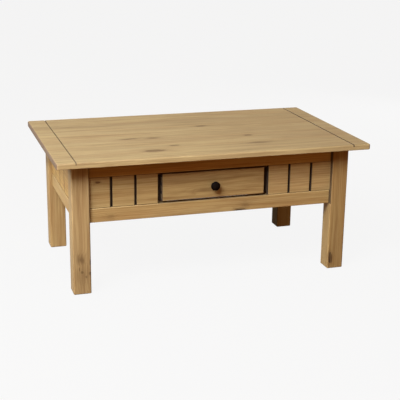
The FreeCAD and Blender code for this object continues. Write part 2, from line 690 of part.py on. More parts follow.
def make_dowels():
    """Make the dowels between rails and legs."""
    dowels = []
    for step, z in enumerate(dowel_heights()):
        dowels.append(rod(
            f"front_dowel_{step}", "+X", "Sizes.dowel_radius", "Sizes.dowel_length",
            "-Places.long_span / 2 - Sizes.dowel_length / 2", "Places.rail_middle - Places.frame_front", z,
        ))
        dowels.append(rod(
            f"side_dowel_{step}", "+Y", "Sizes.dowel_radius", "Sizes.dowel_length",
            "Places.rail_middle - Places.frame_side", "-Places.short_span / 2 - Sizes.dowel_length / 2", z,
        ))
    in_four("rail_dowels", dowels)


def make_corner_blocks():
    """Make the mitred corner blocks with their screws and the screws that hold the top."""
    low = "Places.leg_height - Sizes.block_height"
    body = new_body("corner_block_front_left", "Places.rail_back - Places.frame_side",
                    "Places.rail_back - Places.frame_front", low)
    plan = (
        ("Places.block_near", "0"),
        ("Places.block_far", "0"),
        ("0", "Places.block_far"),
        ("0", "Places.block_near"),
    )
    extrude(body, "Pad", outline(body, "corner_block_plan", "XY_Plane", plan), "corner_block_blank",
            "Sizes.block_height")
    middle = "Sizes.block_height / 2"
    bolt_end = "Places.bolt_end - Places.rail_back"
    bore(body, "corner_block_bolt_hole", "diagonal", "Places.bolt_bore", "Places.bolt_length",
         bolt_end, bolt_end, middle)
    for direction, x, y in (("-Y", "Places.block_middle", "Places.block_far"),
                            ("-X", "Places.block_far", "Places.block_middle")):
        bore(body, f"corner_block_screw_hole_{direction[1]}", direction, "Places.screw_bore",
             "Places.block_far", x, y, middle)
        bore(body, f"corner_block_head_hole_{direction[1]}", direction, "Places.head_bore",
             "Places.block_far - Sizes.block_screw_seat", x, y, middle)
    bore(body, "corner_block_top_hole", "+Z", "Places.screw_bore", "Sizes.block_height",
         "Places.top_screw_long - Places.rail_back", "Places.top_screw_short - Places.rail_back", "0")
    at_four_corners("corner_block", body)

    length = "Sizes.block_screw_seat + Sizes.block_screw_bite"
    head = "Places.rail_back + Sizes.block_screw_seat + Sizes.screw_head_height"
    along = "Places.rail_back + Places.block_middle"
    in_four("corner_block_screws", [
        screw("block_screw_front", "-Y", length,
              f"{along} - Places.frame_side", f"{head} - Places.frame_front", "Places.bolt_height"),
        screw("block_screw_side", "-X", length,
              f"{head} - Places.frame_side", f"{along} - Places.frame_front", "Places.bolt_height"),
    ])
    in_four("top_screws", [
        screw("top_screw", "+Z", "Sizes.block_height + Sizes.top_screw_bite",
              "Places.top_screw_long - Places.frame_side", "Places.top_screw_short - Places.frame_front",
              f"{low} - Sizes.screw_head_height"),
    ])


def on_bolt(distance):
    """Give the place on a hanger bolt's axis at a distance from its end."""
    x = f"Places.bolt_end - Places.frame_side + ({distance}) / sqrt(2)"
    y = f"Places.bolt_end - Places.frame_front + ({distance}) / sqrt(2)"
    return (x, y, "Places.bolt_height")


def bored_ring(label, outer, height, place):
    """Make a washer or nut: an outer form with the hanger bolt's hole through it."""
    hole = rod(f"{label}_hole", "diagonal", "Places.bolt_bore", height, *place)
    ring = doc.addObject("Part::Cut", label)
    ring.Base = outer
    ring.Tool = hole
    return ring


def make_bolts():
    """Make the hanger bolts, washers and nuts that pull the legs into their corners."""
    bolt = rod("hanger_bolt", "diagonal", "Sizes.bolt_radius", "Places.bolt_length", *on_bolt("0"))
    in_four("hanger_bolts", [bolt])

    washer_place = on_bolt("Places.block_outer")
    disc = rod("washer_disc", "diagonal", "Sizes.washer_radius", "Sizes.washer_thickness", *washer_place)
    in_four("hanger_washers", [bored_ring("washer", disc, "Sizes.washer_thickness", washer_place)])

    nut_place = on_bolt("Places.nut_seat")
    hexagon = doc.addObject("Part::Prism", "nut_hexagon")
    hexagon.Polygon = 6
    hexagon.Placement = turned("diagonal")
    bind_point(hexagon, "Placement", *nut_place)
    hexagon.setExpression("Circumradius", "Sizes.nut_radius")
    hexagon.setExpression("Height", "Sizes.nut_height")
    in_four("hanger_nuts", [bored_ring("nut", hexagon, "Sizes.nut_height", nut_place)])


def make_brackets():
    """Make the steel angles that hold the long edges of the top, and their screws."""
    left = "-Places.bracket_side - Sizes.bracket_width / 2"
    low = "Places.leg_height - Sizes.bracket_leg"
    body = new_body("bracket", left, "-Places.front_inner", low)
    shelf = "Sizes.bracket_leg - Sizes.bracket_thickness"
    section = (
        ("0", "0"),
        ("Sizes.bracket_thickness", "0"),
        ("Sizes.bracket_thickness", shelf),
        ("Sizes.bracket_leg", shelf),
        ("Sizes.bracket_leg", "Sizes.bracket_leg"),
        ("0", "Sizes.bracket_leg"),
    )
    profile = outline(body, "bracket_section", "YZ_Plane", section)
    extrude(body, "Pad", profile, "bracket_angle", "Sizes.bracket_width")
    far = "Sizes.bracket_leg - Sizes.bracket_hole_inset"
    bore(body, "bracket_rail_hole", "+Y", "Places.screw_bore", "Sizes.bracket_thickness",
         "Sizes.bracket_width / 2", "0", "Sizes.bracket_hole_inset")
    bore(body, "bracket_top_hole", "+Z", "Places.screw_bore", "Sizes.bracket_thickness",
         "Sizes.bracket_width / 2", far, shelf)
    in_four("top_brackets", [body])

    length = "Sizes.bracket_thickness + Sizes.bracket_screw_bite"
    head = "Sizes.bracket_thickness + Sizes.screw_head_height"
    in_four("bracket_screws", [
        screw("bracket_screw_rail", "-Y", length,
              "-Places.bracket_side", f"{head} - Places.front_inner", f"{low} + Sizes.bracket_hole_inset"),
        screw("bracket_screw_top", "+Z", length,
              "-Places.bracket_side", f"{far} - Places.front_inner", f"Places.leg_height - ({head})"),
    ])


def add_stubs(bar, low, stub):
    """Cut a stub tenon on each end of a runner or kicker."""
    for step, y in enumerate(("-Sizes.stub_length", "Places.bar_length")):
        block(bar, "Additive", f"{bar.Label}_stub_{step}", "Sizes.stub_shoulder", y, f"{stub} - {low}",
              "Places.stub_width", "Sizes.stub_length", "Sizes.stub_height")


def make_runners():
    """Make what the drawer runs on: runners, guides, kickers and stops."""
    runner = board("drawer_runner_left", "Sizes.bar_width", "Places.bar_length", "Sizes.runner_height",
                   "-Places.bar_outer", "-Places.front_inner", "Places.runner_low")
    add_stubs(runner, "Places.runner_low", "Places.runner_stub")
    bore(runner, "runner_screw_hole", "-Z", "Places.screw_bore",
         "Sizes.stop_screw_bite + Sizes.bore_clearance",
         "Sizes.bar_width - Places.ledge_width / 2", "Places.stop_screw_back + Places.front_inner",
         "Sizes.runner_height")
    at_both_sides("drawer_runner", runner)

    guide = board("drawer_guide_left", "Sizes.guide_width", "2 * Places.panel_inner", "Places.guide_height",
                  "-Places.bar_outer", "-Places.panel_inner", "Places.runner_top")
    at_both_sides("drawer_guide", guide)

    kicker = board("drawer_kicker_left", "Sizes.bar_width", "Places.bar_length", "Sizes.kicker_height",
                   "-Places.bar_outer", "-Places.front_inner", "Places.kicker_low")
    add_stubs(kicker, "Places.kicker_low", "Places.kicker_stub")
    at_both_sides("drawer_kicker", kicker)

    stop = board("drawer_stop", "Places.ledge_width", "Sizes.stop_length", "Sizes.stop_height",
                 "-Places.drawer_half", "Places.drawer_end + Sizes.run_clearance", "Places.runner_top")
    bore(stop, "stop_hole", "+Z", "Places.screw_bore", "Sizes.stop_height",
         "Places.ledge_width / 2", "Sizes.stop_length / 2", "0")
    in_pair("drawer_stops", [stop])
    in_pair("stop_screws", [
        screw("stop_screw", "-Z", "Sizes.stop_height + Sizes.stop_screw_bite",
              "Places.ledge_width / 2 - Places.drawer_half", "Places.stop_screw_back",
              "Places.runner_top + Sizes.stop_height + Sizes.screw_head_height"),
    ])


def dovetail(neck, end):
    """List the corners of the lowest dovetail between its neck and its end, in depth and height."""
    middle = "Places.tail_pitch / 2"
    return (
        (neck, f"{middle} - Sizes.tail_neck / 2"),
        (end, f"{middle} - Sizes.tail_end / 2"),
        (end, f"{middle} + Sizes.tail_end / 2"),
        (neck, f"{middle} + Sizes.tail_neck / 2"),
    )


def make_drawer_front():
    """Make the drawer front with the blind sockets that take the dovetails of the sides."""
    width = "2 * Places.drawer_half"
    front = board("drawer_front", width, "Sizes.drawer_front_thickness", "Places.drawer_height",
                  "-Places.drawer_half", "-Places.drawer_face", "Places.drawer_low")
    ease(front, "Fillet", "drawer_front_edges", on_face, "Sizes.drawer_front_round")
    tail = dovetail("Sizes.drawer_front_thickness", "Sizes.drawer_front_thickness - Sizes.tail_length")
    sockets = []
    for name, lift, inward in (("left", "0", True), ("right", width, False)):
        sketch = outline(front, f"socket_plan_{name}", "YZ_Plane", tail, lift)
        depth = "Sizes.drawer_side_thickness"
        sockets.append(extrude(front, "Pocket", sketch, f"socket_{name}", depth, inward))
    repeat(front, sockets, "sockets", "Z_Axis", "Places.tail_pitch", "Sizes.tail_count")
    block(front, "Subtractive", "drawer_front_groove", "Sizes.drawer_side_thickness",
          "Sizes.drawer_front_thickness - Sizes.drawer_groove_depth", "Sizes.drawer_bottom_inset",
          "2 * Places.drawer_inner", "Sizes.drawer_groove_depth + Sizes.overrun",
          "Sizes.drawer_bottom_thickness")
    bore(front, "knob_hole", "+Y", "Places.screw_bore", "Sizes.drawer_front_thickness",
         "Places.drawer_half", "0", "Places.knob_height - Places.drawer_low")
    node(front)


def make_drawer_sides():
    """Make the drawer sides: dovetails in front, a housing for the back and a groove for the bottom."""
    side = new_body("drawer_side_left", "-Places.drawer_half",
                    "-Places.drawer_shoulder - Sizes.tail_length", "Places.drawer_low")
    plan = rectangle_corners("Sizes.tail_length", "0", "Places.side_length", "Places.side_height")
    sketch = outline(side, "side_outline", "YZ_Plane", plan)
    extrude(side, "Pad", sketch, "side_blank", "Sizes.drawer_side_thickness")
    tail = outline(side, "tail_outline", "YZ_Plane", dovetail("Sizes.tail_length", "0"))
    pad = extrude(side, "Pad", tail, "tail", "Sizes.drawer_side_thickness")
    repeat(side, [pad], "tails", "Z_Axis", "Places.tail_pitch", "Sizes.tail_count")
    block(side, "Subtractive", "side_groove", "Sizes.drawer_side_thickness - Sizes.drawer_groove_depth",
          "-Sizes.overrun", "Sizes.drawer_bottom_inset", "Sizes.drawer_groove_depth + Sizes.overrun",
          "Places.side_length + 2 * Sizes.overrun", "Sizes.drawer_bottom_thickness")
    block(side, "Subtractive", "side_housing", "Sizes.drawer_side_thickness - Sizes.drawer_housing_depth",
          "Places.side_length - Sizes.drawer_back_inset - Sizes.drawer_back_thickness", "Places.bottom_top",
          "Sizes.drawer_housing_depth + Sizes.overrun", "Sizes.drawer_back_thickness", "Places.side_height")
    at_both_sides("drawer_side", side)


def make_drawer_box():
    """Make the drawer back and bottom, and the screws between them."""
    half = "Places.drawer_inner + Sizes.drawer_housing_depth"
    back = board("drawer_back", f"2 * ({half})", "Sizes.drawer_back_thickness",
                 "Places.side_height - Places.bottom_top",
                 f"-({half})", "Places.back_rear - Sizes.drawer_back_thickness",
                 "Places.drawer_low + Places.bottom_top")
    reach = "Places.drawer_inner + Sizes.drawer_groove_depth - Sizes.drawer_groove_slack"
    front = "Places.drawer_shoulder + Sizes.drawer_groove_depth - Sizes.drawer_groove_slack"
    low = "Places.drawer_low + Sizes.drawer_bottom_inset"
    bottom = board("drawer_bottom", f"2 * ({reach})", f"{front} + Places.back_rear",
                   "Sizes.drawer_bottom_thickness", f"-({reach})", f"-({front})", low)
    screws = []
    y = "Places.back_rear - Sizes.drawer_back_thickness / 2"
    for step, x in enumerate(("-Places.drawer_screw_side", "0", "Places.drawer_screw_side")):
        bore(back, f"back_screw_hole_{step}", "+Z", "Places.screw_bore",
             "Sizes.drawer_screw_bite + Sizes.bore_clearance",
             f"{half} + {x}", "Sizes.drawer_back_thickness / 2", "0")
        bore(bottom, f"bottom_screw_hole_{step}", "+Z", "Places.screw_bore",
             "Sizes.drawer_bottom_thickness", f"{reach} + {x}", f"{front} + {y}", "0")
        screws.append(screw(f"bottom_screw_{step}", "+Z",
                            "Sizes.drawer_bottom_thickness + Sizes.drawer_screw_bite",
                            x, y, f"{low} - Sizes.screw_head_height"))
    node(back)
    node(bottom)
    node(gathered("drawer_bottom_screws", screws))


def make_knob():
    """Turn the knob, waisted behind and domed in front, and the screw that holds it."""
    height = "Places.knob_height"
    blank = new_body("knob_blank", "0", "-Places.drawer_face", height, "-Y")
    corners = (
        ("0", "0"),
        ("Sizes.knob_foot_radius", "0"),
        ("Sizes.knob_foot_radius", "Sizes.knob_foot_height"),
        ("Sizes.knob_neck_radius", "Sizes.knob_foot_height"),
        ("Sizes.knob_neck_radius", "Sizes.knob_neck_height"),
        ("Sizes.knob_radius", "Sizes.knob_flare_height"),
        ("Sizes.knob_radius", "Places.knob_front"),
        ("0", "Places.knob_front"),
    )
    revolve(blank, outline(blank, "knob_profile", "XZ_Plane", corners))
    foot = sizes.knob_foot_height
    neck = sizes.knob_neck_height
    flare = sizes.knob_flare_height
    ease(blank, "Fillet", "knob_neck", ring_at(neck, sizes.knob_neck_radius), "Sizes.knob_neck_round")
    ease(blank, "Fillet", "knob_rim", ring_at(flare, sizes.knob_radius), "Sizes.knob_edge_round")
    ease(blank, "Fillet", "knob_foot", ring_at(foot, sizes.knob_foot_radius), "Sizes.knob_edge_round")
    bore(blank, "knob_screw_hole", "+Z", "Places.screw_bore",
         "Sizes.knob_screw_depth + Sizes.bore_clearance", "0", "0", "0")
    dome = doc.addObject("Part::Sphere", "knob_dome")
    bind_point(dome, "Placement", "0", "Places.knob_curve - Places.knob_front - Places.drawer_face", height)
    dome.setExpression("Radius", "Places.knob_curve")
    knob = doc.addObject("Part::Common", "drawer_knob")
    knob.Base = blank
    knob.Tool = dome
    node(knob)
    node(screw("knob_screw", "-Y", "Sizes.drawer_front_thickness + Sizes.knob_screw_depth",
               "0", "Sizes.screw_head_height - Places.drawer_shoulder", height))


def check_document():
    """Stop if any object failed, a cut cut nothing or a finished piece isn't a sound solid."""
    doc.recompute()
    for item in doc.Objects:
        if "Invalid" in item.State or "Error" in item.State:
            raise RuntimeError(f"{item.Label} failed: {item.State}")
        base = getattr(item, "BaseFeature", None)
        is_feature = base and item.TypeId != "PartDesign::Body"
        if is_feature and math.isclose(base.Shape.Volume, item.Shape.Volume):
            raise RuntimeError(f"{item.Label} changes nothing")
    for piece in nodes:
        if piece.Shape.isNull() or not piece.Shape.isValid() or not piece.Shape.Solids:
            raise RuntimeError(f"{piece.Label} isn't a sound solid")


def write_parts():
    """Write each finished piece to a file of its own."""
    os.makedirs("parts", exist_ok=True)
    for piece in nodes:
        piece.Shape.exportStep(f"parts/{piece.Label}.step")
        print(f"{piece.Label}: {len(piece.Shape.Solids)} solids, {piece.Shape.Volume:.0f} mm3")


sizes = fill_sheet("Sizes", SIZES, "")
fill_sheet("Places", PLACES, "=")
make_top()
make_legs()
make_front()
make_back()
make_ends()
make_dowels()
make_corner_blocks()
make_bolts()
make_brackets()
make_runners()
make_drawer_front()
make_drawer_sides()
make_drawer_box()
make_knob()
check_document()
write_parts()
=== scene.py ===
import math
from typing import NamedTuple

import bmesh
import bpy
from mathutils import Matrix, Vector


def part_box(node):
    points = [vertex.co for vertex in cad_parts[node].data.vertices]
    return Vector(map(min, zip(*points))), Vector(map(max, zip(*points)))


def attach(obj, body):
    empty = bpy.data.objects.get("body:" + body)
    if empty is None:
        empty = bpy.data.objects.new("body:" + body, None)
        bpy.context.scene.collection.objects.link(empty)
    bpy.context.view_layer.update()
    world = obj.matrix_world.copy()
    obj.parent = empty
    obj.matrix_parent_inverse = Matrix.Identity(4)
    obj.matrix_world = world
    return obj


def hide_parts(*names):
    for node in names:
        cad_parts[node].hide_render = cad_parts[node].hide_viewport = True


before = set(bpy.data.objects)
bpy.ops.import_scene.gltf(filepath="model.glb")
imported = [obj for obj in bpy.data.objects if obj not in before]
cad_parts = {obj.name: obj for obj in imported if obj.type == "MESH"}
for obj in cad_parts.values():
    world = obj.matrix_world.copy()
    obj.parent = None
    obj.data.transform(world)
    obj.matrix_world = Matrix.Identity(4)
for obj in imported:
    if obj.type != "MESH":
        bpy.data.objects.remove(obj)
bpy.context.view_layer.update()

bl_info = {
    "name": "Pine Coffee Table",
    "version": (1, 0, 0),
    "blender": (4, 5, 0),
    "location": "3D View > Sidebar > Pine Table",
    "description": "Dresses a pine coffee table with one drawer and sets it in a pale studio",
    "category": "Object",
}

MM = 0.001
SAME_POINT = 0.001 * MM
CORNERS = ("front_left", "front_right", "back_left", "back_right")

# Directions of a wooden piece: along its fibres, across its face and into it
ALONG_TOP = "XYZ"
ALONG_FRONT = "XZY"
ALONG_END = "YZX"
ALONG_LEG = "ZXY"

# Knots: the middle in mm, the half lengths along the fibres, across them and into the wood, and how dark
TOP_KNOTS = (
    ((-185, -214, 430), (32, 12, 40), 1.0),
    ((-108, -163, 430), (12, 5, 40), 1.0),
    ((-222, -46, 430), (34, 8, 40), 0.85),
    ((-150, -50, 430), (28, 8, 40), 0.84),
    ((55, 79, 430), (17, 8, 40), 1.0),
    ((163, -88, 430), (12, 7, 40), 1.0),
    ((167, -190, 430), (36, 17, 40), 0.8),
)
LEG_KNOTS = {
    "front_left": (((-427, -250, 111), (17, 13, 30), 0.78), ((-397, -250, 100), (10, 3, 8), 0.95),
                   ((-399, -250, 66), (5, 4, 8), 1.0), ((-410, -250, 56), (4, 3, 8), 0.95),
                   ((-431, -250, 82), (8, 2, 8), 0.9), ((-423, -250, 72), (4, 4, 8), 0.95),
                   ((-416, -250, 62), (32, 24, 40), 0.62)),
    "front_right": (((402, -250, 40), (18, 4, 6), 1.0), ((409, -250, 34), (15, 3, 6), 1.0)),
    "back_left": (((-450, 222, 310), (18, 12, 40), 0.8),),
    "back_right": (((450, 215, 260), (20, 12, 40), 0.9),),
}
RAIL_KNOTS = {
    "front_bottom": (((86, -238, 225), (18, 9, 40), 1.0), ((-330, -238, 238), (12, 8, 40), 0.65),
                     ((104, -238, 240), (14, 10, 40), 0.7)),
    "back_bottom": (((-180, 238, 246), (13, 9, 40), 1.0), ((250, 238, 240), (9, 6, 40), 0.8)),
    "right_bottom": (((438, 40, 246), (12, 8, 40), 0.9),),
}
PANEL_KNOTS = {
    "front_panel_left": (((-367, -236, 349), (7, 3, 40), 1.0),),
    "back_panel": (((-30, 236, 320), (16, 11, 40), 1.0), ((210, 236, 300), (10, 6, 40), 0.85)),
    "right_panel": (((436, -90, 325), (12, 9, 40), 0.9),),
}
DRAWER_KNOTS = (((-29, -236, 300), (30, 7, 40), 0.6),)

# Cuts that are darkened with dark wax and painted shade, in mm: the groove in the top from its end, the
# upright grooves of the front from the table's middle, and the middle of what is darkened in a panel's
# grooves from its face
TOP_GROOVE_INSET = 58
FRONT_GROOVES = (251.8, 327.2)
GROOVE_WAX_AND_SHADE_DEPTH = 5.2

# Tone of wood without wax, and how rough wood with wax, wood without wax and left wax are
BARE_TONE = (0.5, 0.9, 1.3)
WAXED_ROUGHNESS = (0.5, 0.66)
BARE_ROUGHNESS = (0.64, 0.8)
LEFT_WAX_ROUGHNESS = 0.95
WOOD_IOR = 1.5

# Points round a washer or nut, and round the knob or floor
FINE_ROUND = 48
SMOOTH_ROUND = 64

# Outline of a pan head from its middle to its rim, in shares of its radius and mm below its highest place,
# and the share of the radius that its cross reaches
PAN_HEAD = ((0, 0), (0.09, 0), (0.17, 0), (0.24, 0), (0.33, 0), (0.43, 0.02), (0.5, 0.03), (0.65, 0.07),
            (0.8, 0.18), (0.92, 0.4), (1, 0.75))
CROSS_REACH = 0.5

# A screw's point, how far each thread of a hanger bolt reaches from its end, and its wood thread's pitch
SCREW_POINT = 4 * MM
BOLT_THREAD = 24 * MM
WOOD_PITCH = 3 * MM

# Arcs of the knob's outline from foot to face: the middle's distance from the axis and from the drawer, the
# radius, all in mm, and the angles between which the arc runs
KNOB_ARCS = (
    (6.5, 1.5, 1.5, 0, 90),
    (6.6, 4.1, 1.1, 270, 180),
    (8.5, 6.4, 3, 180, 124),
    (13, 14.8, 1.5, -56, 0),
    (13.5, 17.5, 1, 0, 42),
    (0, 3.48, 20.52, 48, 90),
)
KNOB_FOOT = 8
ARC_STEPS = 8

# The floor in metres: how far it is below the feet, its flat radius, its round cove and the wall's height
FLOOR_DROP = 0.2 * MM
FLOOR_RADIUS = 12
COVE_RADIUS = 3
WALL_HEIGHT = 14

# Directions from the table to the bright wall and to the softboxes, and the place that the softboxes light
BRIGHT_WALL = Vector((-0.25, 0.95, 0.1)).normalized()
SOFTBOXES = {
    "key": Vector((-0.5, -0.52, 0.68)),
    "side": Vector((-0.95, -0.1, 0.35)),
    "fill": Vector((0.28, -0.6, 0.66)),
    "back": Vector((0.75, 0.65, 0.28)),
}
LIT_PLACE = Vector((0, 0, 0.3))


class Band(NamedTuple):
    """A band through the table in mm: its direction, how far its middle is from the table's middle or the
    floor, its half width and how softly it ends. A direction in capitals holds on both sides."""

    direction: str
    middle: float
    half: float
    soft: float = 1.2


def linear(code):
    """Turn an sRGB hex colour into the linear values that a shader takes."""
    parts = [int(code[start:start + 2], 16) / 255 for start in (0, 2, 4)]
    return [value / 12.92 if value <= 0.04045 else ((value + 0.055) / 1.055) ** 2.4 for value in parts]


def along(place, axis):
    """How far a place lies along the direction X, Y or Z."""
    return place["XYZ".index(axis)]


def box_mm(node):
    """Give the lowest and the highest corner of a node in mm."""
    return [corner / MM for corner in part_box(node)]


def add(tree, kind, inputs=(), **settings):
    """Add a shader node with its settings, give its inputs values or links, in order or by name, and return
    its outputs."""
    node = tree.nodes.new(f"ShaderNode{kind}")
    for key, value in settings.items():
        setattr(node, key, value)
    for key, value in inputs.items() if isinstance(inputs, dict) else enumerate(inputs):
        if isinstance(value, bpy.types.NodeSocket):
            tree.links.new(value, node.inputs[key])
        else:
            node.inputs[key].default_value = value
    return node.outputs


def new_material(name):
    """Start a material and give its node tree and its surface shader."""
    material = bpy.data.materials.new(name)
    material.use_nodes = True
    tree = material.node_tree
    return material, tree, tree.nodes["Principled BSDF"]


def set_stops(ramp, stops):
    """Give a colour ramp its stops: a place, and a colour or how light a grey is."""
    stops_in_ramp = ramp["Color"].node.color_ramp.elements
    while len(stops_in_ramp) < len(stops):
        stops_in_ramp.new(1)
    for stop, (place, colour) in zip(stops_in_ramp, stops):
        stop.position = place
        stop.color = (*colour, 1) if isinstance(colour, list) else (colour, colour, colour, 1)


def finish_surface(tree, surface, colour, gloss, relief, strength, depth):
    """Give a surface its colour, its roughness and a relief so many millimetres deep."""
    bump = add(tree, "Bump", {"Strength": strength, "Distance": depth * MM, "Height": relief})[0]
    for key, value in (("Base Color", colour), ("Roughness", gloss), ("Normal", bump)):
        tree.links.new(value, surface.inputs[key])


def dress(nodes, material):
    """Give pieces of the frame their material."""
    for node in nodes:
        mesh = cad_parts[node].data
        mesh.materials.clear()
        mesh.materials.append(material)


class PineFinish(bpy.types.PropertyGroup):
    """Colours and figure of the pine."""

    early_wood: bpy.props.FloatVectorProperty(
        name="Early wood", description="Pale wood that grows in spring", subtype="COLOR", size=3,
        default=linear("AF9662"))
    late_wood: bpy.props.FloatVectorProperty(
        name="Late wood", description="Darker line that ends each year's growth", subtype="COLOR", size=3,
        default=linear("86683C"))
    red_wood: bpy.props.FloatVectorProperty(
        name="Heartwood", description="Redder wood that shows in broad streaks", subtype="COLOR", size=3,
        default=linear("9A7344"))
    grey_wood: bpy.props.FloatVectorProperty(
        name="Sapwood", description="Greyer wood that shows in broad streaks", subtype="COLOR", size=3,
        default=linear("A49065"))
    knot_wood: bpy.props.FloatVectorProperty(
        name="Knot", description="Brown of the knots", subtype="COLOR", size=3, default=linear("4B341B"))
    # Dark wax, which also paints shade in gaps, corners and grooves
    dark_wax_and_shade: bpy.props.FloatVectorProperty(
        name="Dark wax", description="Wax left in grooves and corners", subtype="COLOR", size=3,
        default=linear("1C110A"))
    worn_wood: bpy.props.FloatVectorProperty(
        name="Worn edge", description="Wood rubbed bare along the edges", subtype="COLOR", size=3,
        default=linear("BEA472"))
    end_wood: bpy.props.FloatVectorProperty(
        name="End grain", description="Cut fibres, which drink more wax", subtype="COLOR", size=3,
        default=linear("5F4B40"))
    ring_width: bpy.props.FloatProperty(
        name="Ring width", description="One year's growth", default=6 * MM, unit="LENGTH")
    band_width: bpy.props.FloatProperty(
        name="Band width", description="A band of redder or greyer wood", default=40 * MM, unit="LENGTH")
    band_length: bpy.props.FloatProperty(
        name="Band length", description="Such a band along the fibres", default=450 * MM, unit="LENGTH")
    streak_width: bpy.props.FloatProperty(
        name="Streak width", description="A streak of darker wood", default=11 * MM, unit="LENGTH")
    streak_length: bpy.props.FloatProperty(
        name="Streak length", description="Such a streak along the fibres", default=260 * MM, unit="LENGTH")
    fibre_width: bpy.props.FloatProperty(
        name="Fibre width", description="A bundle of fibres, drawn coarse enough to show", default=2 * MM,
        unit="LENGTH")
    fibre_length: bpy.props.FloatProperty(
        name="Fibre length", description="A bundle of fibres along the wood", default=90 * MM, unit="LENGTH")
    board_width: bpy.props.FloatProperty(
        name="Board width", description="One of the top's glued boards", default=100 * MM, unit="LENGTH")
    wear_width: bpy.props.FloatProperty(
        name="Worn width", description="How far wear reaches from an edge", default=4 * MM, unit="LENGTH")


class MetalFinish(bpy.types.PropertyGroup):
    """Colours of the fittings."""

    knob_paint: bpy.props.FloatVectorProperty(
        name="Knob", description="The knob's black paint", subtype="COLOR", size=3, default=linear("040303"))
    knob_bronze: bpy.props.FloatVectorProperty(
        name="Rubbed bronze", description="Brown where hands rub the knob", subtype="COLOR", size=3,
        default=linear("160E09"))
    zinc: bpy.props.FloatVectorProperty(
        name="Zinc", description="Bright zinc on the screws and brackets", subtype="COLOR", size=3,
        default=linear("C9CBCE"))
    zinc_dull: bpy.props.FloatVectorProperty(
        name="Dull zinc", description="Zinc gone grey", subtype="COLOR", size=3, default=linear("9C9FA2"))


class FittingSizes(bpy.types.PropertyGroup):
    """Sizes of the detail on the fittings."""

    screw_pitch: bpy.props.FloatProperty(
        name="Screw pitch", description="One turn of a wood screw's thread", default=1.8 * MM, unit="LENGTH")
    bolt_pitch: bpy.props.FloatProperty(
        name="Bolt pitch", description="One turn of a machine thread", default=1.25 * MM, unit="LENGTH")
    recess_depth: bpy.props.FloatProperty(
        name="Recess depth", description="Depth of a screw head's cross", default=1.4 * MM, unit="LENGTH")
    recess_width: bpy.props.FloatProperty(
        name="Recess width", description="Width of an arm of the cross", default=0.9 * MM, unit="LENGTH")


class StudioSettings(bpy.types.PropertyGroup):
    """Camera and light."""

    camera_place: bpy.props.FloatVectorProperty(
        name="Camera", description="Place of the camera", subtype="TRANSLATION", size=3, unit="LENGTH",
        default=(-0.9137, -2.9604, 1.1453))
    camera_yaw: bpy.props.FloatProperty(
        name="Turn", description="How far the camera looks to the right of straight ahead", default=0.3086,
        unit="ROTATION")
    camera_pitch: bpy.props.FloatProperty(
        name="Tilt", description="How far the camera looks down", default=0.2975, unit="ROTATION")
    camera_roll: bpy.props.FloatProperty(
        name="Roll", description="How far the camera leans", default=0.0135, unit="ROTATION")
    camera_lens: bpy.props.FloatProperty(
        name="Lens", description="Focal length on a 36 mm sensor", default=86.445, unit="CAMERA")
    key_power: bpy.props.FloatProperty(
        name="Key light", description="Power of the softbox high at the front left", default=164,
        unit="POWER")
    side_power: bpy.props.FloatProperty(
        name="Side light", description="Power of the softbox low at the left", default=36, unit="POWER")
    fill_power: bpy.props.FloatProperty(
        name="Fill light", description="Power of the softbox at the front right", default=8, unit="POWER")
    back_power: bpy.props.FloatProperty(
        name="Back light", description="Power of the softbox at the back right", default=34, unit="POWER")
    softbox_distance: bpy.props.FloatProperty(
        name="Softbox distance", description="Table to softbox", default=3, unit="LENGTH")
    softbox_size: bpy.props.FloatProperty(
        name="Softbox size", description="Side of the softbox", default=1.5, unit="LENGTH")
    room_light: bpy.props.FloatVectorProperty(
        name="Room light", description="Warm light from the studio's dark side", subtype="COLOR", size=3,
        default=(0.27, 0.11, 0.035))
    wall_light: bpy.props.FloatVectorProperty(
        name="Wall light", description="Light from the bright wall behind the table", subtype="COLOR",
        size=3, default=(0.76, 0.76, 0.66))
    floor_colour: bpy.props.FloatVectorProperty(
        name="Floor", description="Pale floor and wall", subtype="COLOR", size=3, default=linear("F6F6F6"))
    floor_glow: bpy.props.FloatProperty(
        name="Floor glow", description="How far the floor is lit from within", default=0.975)


def facing(tree, axis):
    """Say how squarely the surface faces along a direction, from 0 to 1."""
    normal = add(tree, "NewGeometry")["Normal"]
    towards = Vector(name == axis for name in "XYZ")
    turned = add(tree, "VectorMath", (normal, towards), operation="DOT_PRODUCT")["Value"]
    return add(tree, "Math", (turned,), operation="ABSOLUTE")[0]


def knot_strength(tree, turned, axes, knots):
    """Say how strongly the nearest knot shows: most in its heart, fading out at about three times its half
    lengths."""
    # Outlines waver in bits 30 mm long and 6 mm wide
    wobble = add(tree, "Mapping", {
        "Vector": turned, "Scale": (1 / (30 * MM), 1 / (6 * MM), 1 / (6 * MM))})[0]
    wobble = add(tree, "TexNoise", {"Vector": wobble, "Scale": 1, "Detail": 2})["Fac"]
    strength = None
    for middle, reach, dark in knots:
        scale = Vector(1 / (half * MM) for half in reach)
        offset = Vector(-along(middle, axis) * MM * factor for axis, factor in zip(axes, scale))
        away = add(tree, "VectorMath", (turned, scale, offset), operation="MULTIPLY_ADD")[0]
        away = add(tree, "VectorMath", (away,), operation="LENGTH")["Value"]
        away = add(tree, "Math", (wobble, 1.2, away), operation="MULTIPLY_ADD")[0]
        shade = add(tree, "MapRange", {
            "Value": away, "From Min": 0.5, "From Max": 3.5, "To Min": dark, "To Max": 0},
            interpolation_type="SMOOTHERSTEP")[0]
        if strength:
            shade = add(tree, "Math", (shade, strength), operation="MAXIMUM")[0]
        strength = shade
    return strength


